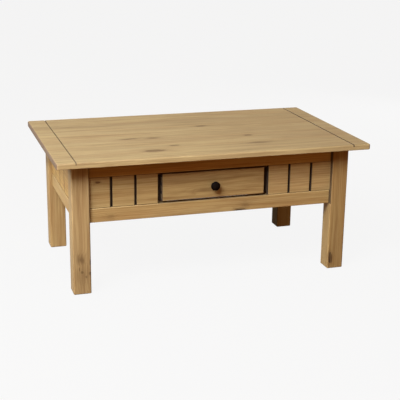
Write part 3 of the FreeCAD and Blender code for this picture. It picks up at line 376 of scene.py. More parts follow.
def knot_heart(tree, knot, fibre):
    """Say where knots are brown: a heart in a dark rim and stained wood round it, torn along the fibres."""
    heart = add(tree, "ValToRGB", {"Fac": knot})
    set_stops(heart, ((0, 0), (0.4, 0.12), (0.68, 0.4), (0.82, 0.9), (1, 0.85)))
    torn = add(tree, "MapRange", {"Value": fibre, "From Min": 0.35, "From Max": 0.6, "To Min": 0.5})[0]
    return add(tree, "Math", (heart["Color"], torn), operation="MULTIPLY")[0]


def wax_and_shade_in_cuts(tree, split, wax_and_shade_marks):
    """Say where dark wax is left and where shade is painted. Each mark has a strength and bands that all
    have to hold.
    """
    wax = None
    for strength, bands in wax_and_shade_marks:
        shade = strength
        for band in bands:
            off = split[band.direction.upper()]
            if band.direction.isupper():
                off = add(tree, "Math", (off,), operation="ABSOLUTE")[0]
            off = add(tree, "Math", (off, band.middle * MM), operation="SUBTRACT")[0]
            off = add(tree, "Math", (off,), operation="ABSOLUTE")[0]
            inside = add(tree, "MapRange", {
                "Value": off, "From Min": band.half * MM, "From Max": (band.half + band.soft) * MM,
                "To Min": 1, "To Max": 0}, interpolation_type="SMOOTHSTEP")[0]
            shade = add(tree, "Math", (inside, shade), operation="MULTIPLY")[0]
        if wax:
            shade = add(tree, "Math", (shade, wax), operation="MAXIMUM")[0]
        wax = shade
    return wax


def rubbed_edges(tree, place, node, reach):
    """Say where a piece is rubbed: along its edges, in patches. Near an edge the second smallest distance to
    the sides of the piece is small."""
    low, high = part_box(node)
    inside = add(tree, "VectorMath", (place, (low + high) / 2), operation="SUBTRACT")[0]
    inside = add(tree, "VectorMath", (inside,), operation="ABSOLUTE")[0]
    inside = add(tree, "VectorMath", ((high - low) / 2, inside), operation="SUBTRACT")[0]
    sides = add(tree, "SeparateXYZ", (inside,))
    least = add(tree, "Math", (sides["X"], sides["Y"]), operation="MINIMUM")[0]
    most = add(tree, "Math", (sides["X"], sides["Y"]), operation="MAXIMUM")[0]
    most = add(tree, "Math", (most, sides["Z"]), operation="MINIMUM")[0]
    edge = add(tree, "Math", (least, most), operation="MAXIMUM")[0]
    edge = add(tree, "MapRange", {"Value": edge, "From Max": reach, "To Min": 0.42, "To Max": 0},
               interpolation_type="SMOOTHSTEP")[0]
    # Patches about 30 mm across
    patches = add(tree, "TexNoise", {
        "Vector": place, "Scale": 1 / (30 * MM), "Detail": 2, "Roughness": 0.6})["Fac"]
    patches = add(tree, "MapRange", {"Value": patches, "From Min": 0.35, "From Max": 0.65, "To Min": 0.1})[0]
    return add(tree, "Math", (edge, patches), operation="MULTIPLY")[0]


def glued_boards(tree, across):
    """Give each glued board a chance colour and a lightness: each a little different, and paler on the
    upright edges than on the upward face, as painted light."""
    number = add(tree, "Math", (across, bpy.context.scene.pine_finish.board_width), operation="DIVIDE")[0]
    number = add(tree, "Math", (number,), operation="FLOOR")[0]
    board = add(tree, "TexWhiteNoise", {"W": number}, noise_dimensions="1D")
    lift = add(tree, "MapRange", {"Value": board["Value"], "To Min": 0.75, "To Max": 0.83})[0]
    # Painted light: the upright edges are made paler than the upward face
    lift = add(tree, "MapRange", {
        "Value": facing(tree, "Z"), "From Min": 0.15, "From Max": 0.6, "To Min": 1.05, "To Max": lift})[0]
    return board["Color"], lift


def growth_rings(tree, grain, pith, knot):
    """Growth rings about the pith, drawn out along the fibres and bent round the knots."""
    log = add(tree, "Mapping", {
        "Vector": grain, "Location": (0, -pith[0] * MM, -pith[1] * MM), "Rotation": (0, 0.03, 0.02),
        "Scale": (0.12, 1, 1)})[0]
    bend = add(tree, "Math", (knot, 14), operation="MULTIPLY")[0] if knot else 0
    # At scale 1 the rings of a wave are 2 pi / 20 wide
    scale = 2 * math.pi / (20 * bpy.context.scene.pine_finish.ring_width)
    return add(tree, "TexWave", {
        "Vector": log, "Scale": scale, "Distortion": 7, "Detail": 3, "Detail Scale": 0.35,
        "Detail Roughness": 0.55, "Phase Offset": bend},
        wave_type="RINGS", rings_direction="X", wave_profile="SAW")["Fac"]


def late_rings(tree, growth, band, knot):
    """Say where the dark ends of the rings show: here and there, most in some bands and round the knots."""
    late = add(tree, "ValToRGB", {"Fac": growth})
    set_stops(late, ((0, 0.1), (0.45, 0), (0.9, 1), (1, 0.1)))
    shown = add(tree, "MapRange", {
        "Value": band, "From Min": 0.35, "From Max": 0.65, "To Min": 0.2, "To Max": 0.7})[0]
    if knot:
        shown = add(tree, "Math", (shown, knot), operation="MAXIMUM")[0]
    return add(tree, "Math", (late["Color"], shown), operation="MULTIPLY")[0]


def pine(name, nodes, axes, pith, knots=(), wax_and_shade_marks=(), boards=False, waxed=True, tone=(0.5, 1, 1)):
    """Knotty pine, planed and sanded, and where it shows rubbed with tinted wax. The eye sees honey coloured
    wood with soft streaks, faint rings, fine fibres and brown smudges of knots, a little paler along rubbed
    edges, greyer on cut ends, and nearly black in grooves, gaps and corners from dark wax and painted shade.

    axes names the directions along the fibres, across the face and into the wood. pith is where the middle
    of the log would be, in mm across and into the piece. tone says how yellow the colour is, how strong and
    how light. Glued boards have a lightness of their own instead.
    """
    finish = bpy.context.scene.pine_finish
    material, tree, surface = new_material(name)
    place = add(tree, "TexCoord")["Object"]
    split = add(tree, "SeparateXYZ", (place,))
    turned = add(tree, "CombineXYZ", [split[axis] for axis in axes])[0]
    knot = knot_strength(tree, turned, axes, knots) if knots else None
    hue, strength, lift = tone

    # Each glued board comes from another part of the tree, and fibres wander a little over a hand's length
    grain = turned
    if boards:
        shift, lift = glued_boards(tree, split[axes[1]])
        grain = add(tree, "VectorMath", (shift, (3, 0.05, 0.04), grain), operation="MULTIPLY_ADD")[0]
    drift = add(tree, "Mapping", {
        "Vector": grain, "Scale": (1 / (300 * MM), 1 / (80 * MM), 1 / (80 * MM))})[0]
    drift = add(tree, "TexNoise", {"Vector": drift, "Scale": 1, "Detail": 1})["Color"]
    grain = add(tree, "VectorMath", (drift, (0, 14 * MM, 14 * MM), grain), operation="MULTIPLY_ADD")[0]

    # Broad bands, streaks and bundles of fibres, all drawn out along the wood
    patterns = []
    for length, width, detail, rough in ((finish.band_length, finish.band_width, 3, 0.55),
                                         (finish.streak_length, finish.streak_width, 4, 0.6),
                                         (finish.fibre_length, finish.fibre_width, 2, 0.6)):
        drawn_out = add(tree, "Mapping", {"Vector": grain, "Scale": (1 / length, 1 / width, 1 / width)})[0]
        patterns.append(add(tree, "TexNoise", {
            "Vector": drawn_out, "Scale": 1, "Detail": detail, "Roughness": rough}))
    band, streak, fibre = (pattern["Fac"] for pattern in patterns)
    other_band = add(tree, "SeparateColor", (patterns[0]["Color"],))["Green"]

    # Other woods over the early wood: from where to where in a pattern each shows, and how much of it
    growth = growth_rings(tree, grain, pith, knot)
    woods = [(late_rings(tree, growth, band, knot), finish.late_wood)]
    for pattern, start, end, most, wood in ((band, 0.45, 0.7, 0.6, finish.red_wood),
                                            (other_band, 0.45, 0.75, 0.7, finish.grey_wood),
                                            (streak, 0.46, 0.72, 0.9, finish.late_wood),
                                            (fibre, 0.4, 0.72, 0.55, finish.late_wood)):
        woods.append((add(tree, "MapRange", {
            "Value": pattern, "From Min": start, "From Max": end, "To Max": most})[0], wood))
    colour = (*finish.early_wood, 1)
    for amount, wood in woods:
        colour = add(tree, "Mix", {"Factor": amount, "A": colour, "B": (*wood, 1)},
                     data_type="RGBA")["Result"]
    colour = add(tree, "HueSaturation", {
        "Color": colour, "Hue": hue, "Saturation": strength, "Value": lift})[0]
    smooth, rough = WAXED_ROUGHNESS if waxed else BARE_ROUGHNESS
    gloss = add(tree, "MapRange", {
        "Value": fibre, "From Min": 0.2, "From Max": 0.8, "To Min": smooth, "To Max": rough})[0]

    # Edges are rubbed, cut ends drink more wax, and dark wax and painted shade are black and dull
    coats = []
    if waxed:
        coats.append((rubbed_edges(tree, place, nodes[0], finish.wear_width), finish.worn_wood))
    cut_ends = add(tree, "MapRange", {
        "Value": facing(tree, axes[0]), "From Min": 0.3, "From Max": 0.75, "To Max": 0.85})[0]
    coats.append((cut_ends, finish.end_wood))
    if knots:
        coats.append((knot_heart(tree, knot, fibre), finish.knot_wood))
    if wax_and_shade_marks:
        wax = wax_and_shade_in_cuts(tree, split, wax_and_shade_marks)
        coats.append((wax, finish.dark_wax_and_shade))
        gloss = add(tree, "MapRange", {
            "Value": wax, "From Max": 0.5, "To Min": gloss, "To Max": LEFT_WAX_ROUGHNESS})[0]
    for amount, coat in coats:
        colour = add(tree, "Mix", {"Factor": amount, "A": colour, "B": (*coat, 1)},
                     data_type="RGBA")["Result"]

    relief = add(tree, "Math", (growth, 0.4, fibre), operation="MULTIPLY_ADD")[0]
    finish_surface(tree, surface, colour, gloss, relief, 0.3, 0.25)
    surface.inputs["IOR"].default_value = WOOD_IOR
    dress(nodes, material)


def turned_beech():
    """Beech, turned and fluted into dowels. The eye sees pale pinkish wood with short dark flecks."""
    material, tree, surface = new_material("Beech, turned")
    place = add(tree, "TexCoord")["Object"]
    # Flecks 3 mm long and 0.6 mm wide
    flecks = add(tree, "Mapping", {
        "Vector": place, "Scale": (1 / (3 * MM), 1 / (3 * MM), 1 / (0.6 * MM))})[0]
    flecks = add(tree, "TexNoise", {"Vector": flecks, "Scale": 1, "Detail": 2})["Fac"]
    ramp = add(tree, "ValToRGB", {"Fac": flecks})
    set_stops(ramp, ((0.35, linear("A97F58")), (0.5, linear("CDA57C")), (0.8, linear("D9B48D"))))
    gloss = add(tree, "MapRange", {"Value": flecks, "To Min": 0.5, "To Max": 0.7})[0]
    finish_surface(tree, surface, ramp["Color"], gloss, flecks, 0.2, 0.1)
    surface.inputs["IOR"].default_value = WOOD_IOR
    return material


def sanded_plywood(node):
    """Birch plywood, peeled, pressed and sanded. The eye sees a pale sheet with broad wandering figure, fine
    pores along the fibres, and layers in turn pale and brown on its edges."""
    material, tree, surface = new_material("Birch plywood, sanded")
    low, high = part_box(node)
    place = add(tree, "TexCoord")["Object"]
    # Figure of the peeled face in blotches 90 mm wide, with several lines in each
    figure = add(tree, "Mapping", {"Vector": place, "Scale": (0.22, 1, 1)})[0]
    figure = add(tree, "TexNoise", {
        "Vector": figure, "Scale": 1 / (90 * MM), "Detail": 2, "Distortion": 0.8})["Fac"]
    figure = add(tree, "Math", (figure, 9), operation="MULTIPLY")[0]
    figure = add(tree, "Math", (figure, 1), operation="PINGPONG")[0]
    # Pores 12 mm long, drawn 0.8 mm wide so that they show
    pores = add(tree, "Mapping", {
        "Vector": place, "Scale": (1 / (12 * MM), 1 / (0.8 * MM), 1 / (0.8 * MM))})[0]
    pores = add(tree, "TexNoise", {"Vector": pores, "Scale": 1, "Detail": 2})["Fac"]
    mixed = add(tree, "Math", (figure, 0.35, pores), operation="MULTIPLY_ADD")[0]
    ramp = add(tree, "ValToRGB", {"Fac": mixed})
    set_stops(ramp, ((0.35, linear("B98F5C")), (0.6, linear("D3AF7C")), (0.9, linear("DDBE90"))))
    # Five layers in the thickness of the sheet show on its edges
    height = add(tree, "SeparateXYZ", (place,))["Z"]
    layer = add(tree, "MapRange", {"Value": height, "From Min": low.z, "From Max": high.z, "To Max": 5})[0]
    layer = add(tree, "Math", (layer, 2), operation="MODULO")[0]
    layer = add(tree, "Math", (layer, 1), operation="GREATER_THAN")[0]
    edge = add(tree, "MapRange", {
        "Value": facing(tree, "Z"), "From Max": 0.5, "To Min": 0.6, "To Max": 0})[0]
    brown = add(tree, "Math", (layer, edge), operation="MULTIPLY")[0]
    colour = add(tree, "Mix", {"Factor": brown, "A": ramp["Color"], "B": (*linear("7A5632"), 1)},
                 data_type="RGBA")["Result"]
    gloss = add(tree, "MapRange", {"Value": pores, "To Min": 0.55, "To Max": 0.75})[0]
    finish_surface(tree, surface, colour, gloss, pores, 0.2, 0.15)
    surface.inputs["IOR"].default_value = WOOD_IOR
    dress([node], material)


def bright_zinc():
    """Mild steel, stamped or rolled and plated with bright zinc. The eye sees a cool silver with dull grey
    clouds and a soft, not quite sharp shine."""
    finish = bpy.context.scene.metal_finish
    made = bpy.data.materials.get("Steel, zinc plated")
    if made:
        return made
    material, tree, surface = new_material("Steel, zinc plated")
    place = add(tree, "TexCoord")["Object"]
    # Clouds about 6 mm across
    clouds = add(tree, "TexNoise", {"Vector": place, "Scale": 1 / (6 * MM), "Detail": 3})["Fac"]
    colour = add(tree, "Mix", {"Factor": clouds, "A": (*finish.zinc, 1), "B": (*finish.zinc_dull, 1)},
                 data_type="RGBA")["Result"]
    gloss = add(tree, "MapRange", {"Value": clouds, "To Min": 0.22, "To Max": 0.5})[0]
    # Grit of the plating, drawn at half a millimetre so that it shows
    grit = add(tree, "TexNoise", {"Vector": place, "Scale": 1 / (0.5 * MM)})["Fac"]
    finish_surface(tree, surface, colour, gloss, grit, 0.2, 0.05)
    surface.inputs["Metallic"].default_value = 1
    return material


def rubbed_black_paint(node):
    """Cast zinc knob, painted satin black and rubbed back. The eye sees nearly black with a soft shine, and
    warm bronze where fingers wear the rim and the face."""
    finish = bpy.context.scene.metal_finish
    material, tree, surface = new_material("Cast metal, painted black and rubbed")
    low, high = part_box(node)
    place = add(tree, "TexCoord")["Object"]
    # Rubbed most near the face, in patches about 5 mm across
    patches = add(tree, "TexNoise", {"Vector": place, "Scale": 1 / (5 * MM), "Detail": 3})["Fac"]
    forward = add(tree, "SeparateXYZ", (place,))["Y"]
    reach = add(tree, "MapRange", {
        "Value": forward, "From Min": high.y, "From Max": low.y, "To Max": 0.5})[0]
    worn = add(tree, "Math", (patches, reach), operation="ADD")[0]
    worn = add(tree, "MapRange", {"Value": worn, "From Min": 0.75, "From Max": 1.1})[0]
    colour = add(tree, "Mix", {
        "Factor": worn, "A": (*finish.knob_paint, 1), "B": (*finish.knob_bronze, 1)},
        data_type="RGBA")["Result"]
    gloss = add(tree, "MapRange", {"Value": patches, "To Min": 0.65, "To Max": 0.85})[0]
    # Orange peel of the paint, drawn 1 mm across so that it shows
    peel = add(tree, "TexNoise", {"Vector": place, "Scale": 1 / (1 * MM), "Detail": 2})["Fac"]
    finish_surface(tree, surface, colour, gloss, peel, 0.25, 0.08)
    surface.inputs["Specular IOR Level"].default_value = 0.06
    return material


def solids(node):
    """Give the corners of each separate solid of a node."""
    mesh = bmesh.new()
    mesh.from_mesh(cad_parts[node].data)
    bmesh.ops.remove_doubles(mesh, verts=mesh.verts, dist=SAME_POINT)
    seen = set()
    found = []
    for start in mesh.verts:
        if start in seen:
            continue
        seen.add(start)
        group = [start]
        for corner in group:
            for edge in corner.link_edges:
                other = edge.other_vert(corner)
                if other not in seen:
                    seen.add(other)
                    group.append(other)
        found.append([corner.co.copy() for corner in group])
    mesh.free()
    return found


def seat(start, towards):
    """A place at start whose own height runs along towards."""
    return Matrix.Translation(start) @ towards.to_track_quat("Z", "Y").to_matrix().to_4x4()


def ring(place, radius, height, count=24):
    """Points of a circle about the axis of a fitting, or the one point on the axis where the radius is
    zero."""
    if radius < SAME_POINT:
        return [place @ Vector((0, 0, height))]
    angles = [step * 2 * math.pi / count for step in range(count)]
    return [place @ Vector((radius * math.cos(angle), radius * math.sin(angle), height)) for angle in angles]


def loft(mesh, rings):
    """Join each ring of points to the next one."""
    rows = [[mesh.verts.new(point) for point in points] for points in rings]
    for row, after in zip(rows, rows[1:]):
        for step in range(max(len(row), len(after))):
            corners = [row[step % len(row)], row[(step + 1) % len(row)],
                       after[(step + 1) % len(after)], after[step % len(after)]]
            mesh.faces.new(list(dict.fromkeys(corners)))


def thread(place, crest, root, pitch, start, end):
    """Rings of a thread that runs from start to end: in at its roots and out on its crests."""
    rings = []
    for turn in range(int((end - start) / pitch)):
        rings.append(ring(place, root, start + turn * pitch))
        rings.append(ring(place, crest, start + (turn + 0.5) * pitch))
    return rings


def put_piece(mesh, node, body, material):
    """Turn a finished mesh into a piece that stands for a node and moves with its body."""
    bmesh.ops.remove_doubles(mesh, verts=mesh.verts, dist=SAME_POINT)
    bmesh.ops.recalc_face_normals(mesh, faces=mesh.faces)
    data = bpy.data.meshes.new(f"{node}_detail")
    mesh.to_mesh(data)
    mesh.free()
    data.polygons.foreach_set("use_smooth", [True] * len(data.polygons))
    data.set_sharp_from_angle(angle=math.radians(38))
    data.materials.append(material)
    piece = bpy.data.objects.new(f"{node}_detail", data)
    bpy.context.scene.collection.objects.link(piece)
    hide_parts(node)
    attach(piece, body)


def screw_head(place, radius, sizes):
    """Rings of a pan head from the middle of its cross to its rim, with the cross pressed in."""
    rings = []
    for share, height in PAN_HEAD:
        points = ring(Matrix.Identity(4), share * radius, height * MM)
        for point in points:
            in_arm = min(abs(point.x), abs(point.y)) < sizes.recess_width / 2
            if in_arm and share < CROSS_REACH:
                point.z += sizes.recess_depth * (1 - share)
        rings.append([place @ point for point in points])
    return rings


def corner_box(corners):
    """Lowest and highest corner of a solid."""
    low = Vector(min(corner[axis] for corner in corners) for axis in range(3))
    high = Vector(max(corner[axis] for corner in corners) for axis in range(3))
    return low, high


def cross_screws(node, body):
    """Wood screws with pan heads and crosses, one in the place of each solid of the node. The head is at the
    end where a solid is widest, and each screw is turned a little further than the last."""
    sizes = bpy.context.scene.fitting_sizes
    mesh = bmesh.new()
    for number, corners in enumerate(solids(node)):
        low, high = corner_box(corners)
        middle = (low + high) / 2
        long_axis = max(range(3), key=lambda axis: high[axis] - low[axis])
        length = high[long_axis] - low[long_axis]
        radius = (high - low)[(long_axis + 1) % 3] / 2
        towards = Vector((0, 0, 0))
        towards[long_axis] = 1
        heads = [(corner - middle).dot(towards) for corner in corners
                 if (corner - middle).cross(towards).length > 0.9 * radius]
        if sum(heads) > 0:
            towards = -towards
        place = seat(middle - towards * length / 2, towards) @ Matrix.Rotation(0.9 * number, 4, "Z")
        head = length / 2 - min(abs(height) for height in heads)
        shank, root, tip = radius / 2, 0.36 * radius, length - SCREW_POINT
        rings = screw_head(place, radius, sizes)
        rings += [ring(place, radius, head), ring(place, shank, head)]
        rings += thread(place, shank, root, sizes.screw_pitch, head + 1 * MM, tip)
        rings += [ring(place, root, tip), ring(place, 0, length)]
        loft(mesh, rings)
    put_piece(mesh, node, body, bright_zinc())


def on_diagonal(corners):
    """The inner end of a fitting on a hanger bolt, its height running out to the leg, and its length."""
    low, high = corner_box(corners)
    middle = (low + high) / 2
    outward = Vector((math.copysign(1, middle.x), math.copysign(1, middle.y), 0)).normalized()
    heights = [corner.dot(outward) for corner in corners]
    length = max(heights) - min(heights)
    return seat(middle - outward * length / 2, outward), length


def hanger_bolts():
    """Hanger bolts: a chamfered tail with a machine thread for the nut, and a coarse wood thread in the
    leg."""
    sizes = bpy.context.scene.fitting_sizes
    mesh = bmesh.new()
    for corners in solids("hanger_bolts"):
        place, length = on_diagonal(corners)
        radius = max((place.inverted() @ corner).xy.length for corner in corners)
        shank, root, tip = 0.92 * radius, 0.7 * radius, length - SCREW_POINT
        wood_thread = length - BOLT_THREAD
        rings = [ring(place, 0, 0), ring(place, root, 0), ring(place, shank, 0.8 * MM)]
        rings += thread(place, radius, 0.86 * radius, sizes.bolt_pitch, 1.2 * MM, BOLT_THREAD)
        rings += [ring(place, shank, BOLT_THREAD + 0.5 * MM), ring(place, shank, wood_thread)]
        rings += thread(place, radius, root, WOOD_PITCH, wood_thread + 1 * MM, tip)
        rings += [ring(place, root, tip), ring(place, 0, length)]
        loft(mesh, rings)
    put_piece(mesh, "hanger_bolts", "frame", bright_zinc())


def stamped_washers():
    """Washers, with the burr of the stamp taken off their edges."""
    mesh = bmesh.new()
    for corners in solids("hanger_washers"):
        place, length = on_diagonal(corners)
        reach = [(place.inverted() @ corner).xy.length for corner in corners]
        bore, rim, burr = min(reach), max(reach), 0.25 * MM
        profile = ((bore, burr), (bore + burr, 0), (rim - burr, 0), (rim, burr), (rim, length - burr),
                   (rim - burr, length), (bore + burr, length), (bore, length - burr), (bore, burr))
        loft(mesh, [ring(place, radius, height, FINE_ROUND) for radius, height in profile])
    put_piece(mesh, "hanger_washers", "frame", bright_zinc())


def chamfered_nuts():
    """Hexagon nuts, with turned chamfers that cut off their corners and open the ends of their thread."""
    mesh = bmesh.new()
    mouth = 0.5 * MM
    for corners in solids("hanger_nuts"):
        place, length = on_diagonal(corners)
        points = [place.inverted() @ corner for corner in corners]
        far = max(points, key=lambda point: point.xy.length)
        bore = min(point.xy.length for point in points)
        flat = far.xy.length * math.cos(math.pi / 6)
        place = place @ Matrix.Rotation(math.atan2(far.y, far.x), 4, "Z")
        chamfer = [(0, 0.97 * flat), (0.35 * MM, 0.97 * flat + 0.6 * MM), (0.75 * MM, 2 * flat)]
        shape = []
        for height, limit in chamfer + [(length - height, limit) for height, limit in reversed(chamfer)]:
            circle = ring(Matrix.Identity(4), 1, height, FINE_ROUND)
            for step, point in enumerate(circle):
                angle = step * 2 * math.pi / FINE_ROUND % (math.pi / 3) - math.pi / 6
                point.xy *= min(flat / math.cos(angle), limit)
            shape.append([place @ point for point in circle])
        for radius, height in ((bore + mouth, length), (bore, length - mouth), (bore, mouth),
                               (bore + mouth, 0)):
            shape.append(ring(place, radius, height, FINE_ROUND))
        loft(mesh, shape + shape[:1])
    put_piece(mesh, "hanger_nuts", "frame", bright_zinc())


def turned_knob():
    """Round knob: a foot, a waisted neck, a flared back, a narrow rim and a domed face."""
    low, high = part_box("drawer_knob")
    place = seat(Vector(((low.x + high.x) / 2, high.y, (low.z + high.z) / 2)), Vector((0, -1, 0)))
    profile = [(0, 0), (KNOB_FOOT, 0)]
    for middle, lift, radius, start, end in KNOB_ARCS:
        for step in range(ARC_STEPS + 1):
            angle = math.radians(start + (end - start) * step / ARC_STEPS)
            profile.append((middle + radius * math.cos(angle), lift + radius * math.sin(angle)))
    mesh = bmesh.new()
    loft(mesh, [ring(place, radius * MM, height * MM, SMOOTH_ROUND) for radius, height in profile])
    put_piece(mesh, "drawer_knob", "drawer", rubbed_black_paint("drawer_knob"))


def pale_floor(scene):
    """Painted floor, matt. It is round, curves up into a wall and is lit from within, so that the eye sees
    one even pale ground."""
    profile = [(0, -FLOOR_DROP), (FLOOR_RADIUS, -FLOOR_DROP)]
    # Corners of the cove, to a tenth of a metre
    for angle in (-60, -30, 0):
        turn = math.radians(angle)
        out, up = COVE_RADIUS * math.cos(turn), COVE_RADIUS * (1 + math.sin(turn))
        profile.append((FLOOR_RADIUS + round(out, 1), round(up, 1)))
    profile.append((FLOOR_RADIUS + COVE_RADIUS, WALL_HEIGHT))
    mesh = bmesh.new()
    loft(mesh, [ring(Matrix.Identity(4), radius, height, SMOOTH_ROUND) for radius, height in profile])
    bmesh.ops.recalc_face_normals(mesh, faces=mesh.faces)
    data = bpy.data.meshes.new("floor")
    mesh.to_mesh(data)
    mesh.free()
    floor = bpy.data.objects.new("floor", data)
    scene.collection.objects.link(floor)
    material, _, surface = new_material("Painted floor, matt")
    for key, value in (("Base Color", (0.02, 0.02, 0.02, 1)), ("Roughness", 0.9), ("Specular IOR Level", 0),
                       ("Emission Color", (*scene.studio.floor_colour, 1)),
                       ("Emission Strength", scene.studio.floor_glow)):
        surface.inputs[key].default_value = value
    data.materials.append(material)
    floor.visible_diffuse = False
    floor.visible_glossy = False
    floor.visible_shadow = False


def studio_room(scene):
    """A studio that is dark in front, with a bright wall behind the table to the left."""
    world = bpy.data.worlds.new("studio")
    world.use_nodes = True
    tree = world.node_tree
    look = add(tree, "TexCoord")["Generated"]
    bright = add(tree, "VectorMath", (look, BRIGHT_WALL), operation="DOT_PRODUCT")["Value"]
    bright = add(tree, "MapRange", {"Value": bright, "From Min": 0.55, "From Max": 0.97},
                 interpolation_type="SMOOTHSTEP")[0]
    light = add(tree, "Mix", {
        "Factor": bright, "A": (*scene.studio.room_light, 1), "B": (*scene.studio.wall_light, 1)},
        data_type="RGBA")["Result"]
    tree.links.new(light, tree.nodes["Background"].inputs["Color"])
    scene.world = world


def softboxes(scene):
    """Square softboxes that point at the table."""
    for name, towards in SOFTBOXES.items():
        lamp = bpy.data.lights.new(name, "AREA")
        lamp.energy = getattr(scene.studio, f"{name}_power")
        lamp.shape = "SQUARE"
        lamp.size = scene.studio.softbox_size
        softbox = bpy.data.objects.new(name, lamp)
        softbox.location = LIT_PLACE + towards.normalized() * scene.studio.softbox_distance
        softbox.rotation_euler = towards.to_track_quat("Z", "Y").to_euler()
        # The light behind would glare on the top
        softbox.visible_glossy = name != "back"
        scene.collection.objects.link(softbox)


def front_camera(scene):
    """A camera at the front left, a little above the table."""
    studio = scene.studio
    lens = bpy.data.cameras.new("camera")
    lens.lens = studio.camera_lens
    lens.sensor_width = 36
    camera = bpy.data.objects.new("camera", lens)
    turn = Matrix.Rotation(-studio.camera_yaw, 4, "Z")
    tilt = Matrix.Rotation(math.pi / 2 - studio.camera_pitch, 4, "X")
    roll = Matrix.Rotation(studio.camera_roll, 4, "Z")
    camera.matrix_world = Matrix.Translation(studio.camera_place) @ turn @ tilt @ roll
    scene.collection.objects.link(camera)
    scene.camera = camera


class PINETABLE_OT_dress_top(bpy.types.Operator):
    """Give the top its glued boards, knots, end grain, and grooves dark with wax and painted shade"""

    bl_idname = "pine_table.dress_top"
    bl_label = "Top"

    def execute(self, context):
        high = box_mm("table_top")[1]
        groove = high.x - TOP_GROOVE_INSET
        in_cut = Band("Z", high.z, 6)
        # Dark wax and painted shade in the grooves; the groove on the right is painted darker
        wax_and_shade_marks = ((0.5, (Band("X", groove, 1.3), in_cut)), (0.85, (Band("x", groove, 1.6), in_cut)))
        pine("Pine, glued, sanded and waxed, top", ["table_top"], ALONG_TOP, (20, 480), TOP_KNOTS, wax_and_shade_marks,
             boards=True, tone=(0.509, 0.87, 1))
        return {"FINISHED"}


class PINETABLE_OT_dress_legs(bpy.types.Operator):
    """Give each leg its own figure and knots"""

    bl_idname = "pine_table.dress_legs"
    bl_label = "Legs"

    def execute(self, context):
        low, high = box_mm("leg_back_right")
        half_apron = (high.z - box_mm("back_bottom_rail")[0].z) / 2
        piths = ((-470, -190), (350, -300), (-500, 330), (520, 180))
        # The back right leg, in the shade under the table, is made darker than the others: painted shade
        tones = ((0.5, 0.93, 0.98), (0.5, 1, 0.9), (0.5, 0.96, 1.04), (0.52, 0.95, 0.7))
        # Dark wax and painted shade beside the rails, and the marks below
        beside_rails = (0.75, (Band("X", low.x, 1), Band("Z", high.z - half_apron, half_apron)))
        marks = {
            # Painted shade along the front left leg's inner edge, and under the top on its outer face
            "front_left": ((0.3, (Band("X", low.x, 2.5),)),
                           (0.42, (Band("X", high.x, 1), Band("Z", high.z, 8, 34)))),
            # A dark split at one foot
            "front_right": ((0.85, (Band("X", low.x + 9, 1.2), Band("Y", high.y, 1), Band("Z", 38, 18))),),
            # Painted shade on the inner face of the back right leg, which stands in the shade under the
            # table
            "back_right": ((0.75, (Band("X", low.x, 1),)),),
        }
        for corner, pith, tone in zip(CORNERS, piths, tones):
            wax_and_shade_marks = (beside_rails, *marks.get(corner, ()))
            pine(f"Pine, planed and waxed, leg {corner.replace('_', ' ')}", [f"leg_{corner}"], ALONG_LEG,
                 pith, LEG_KNOTS[corner], wax_and_shade_marks, tone=tone)
        return {"FINISHED"}


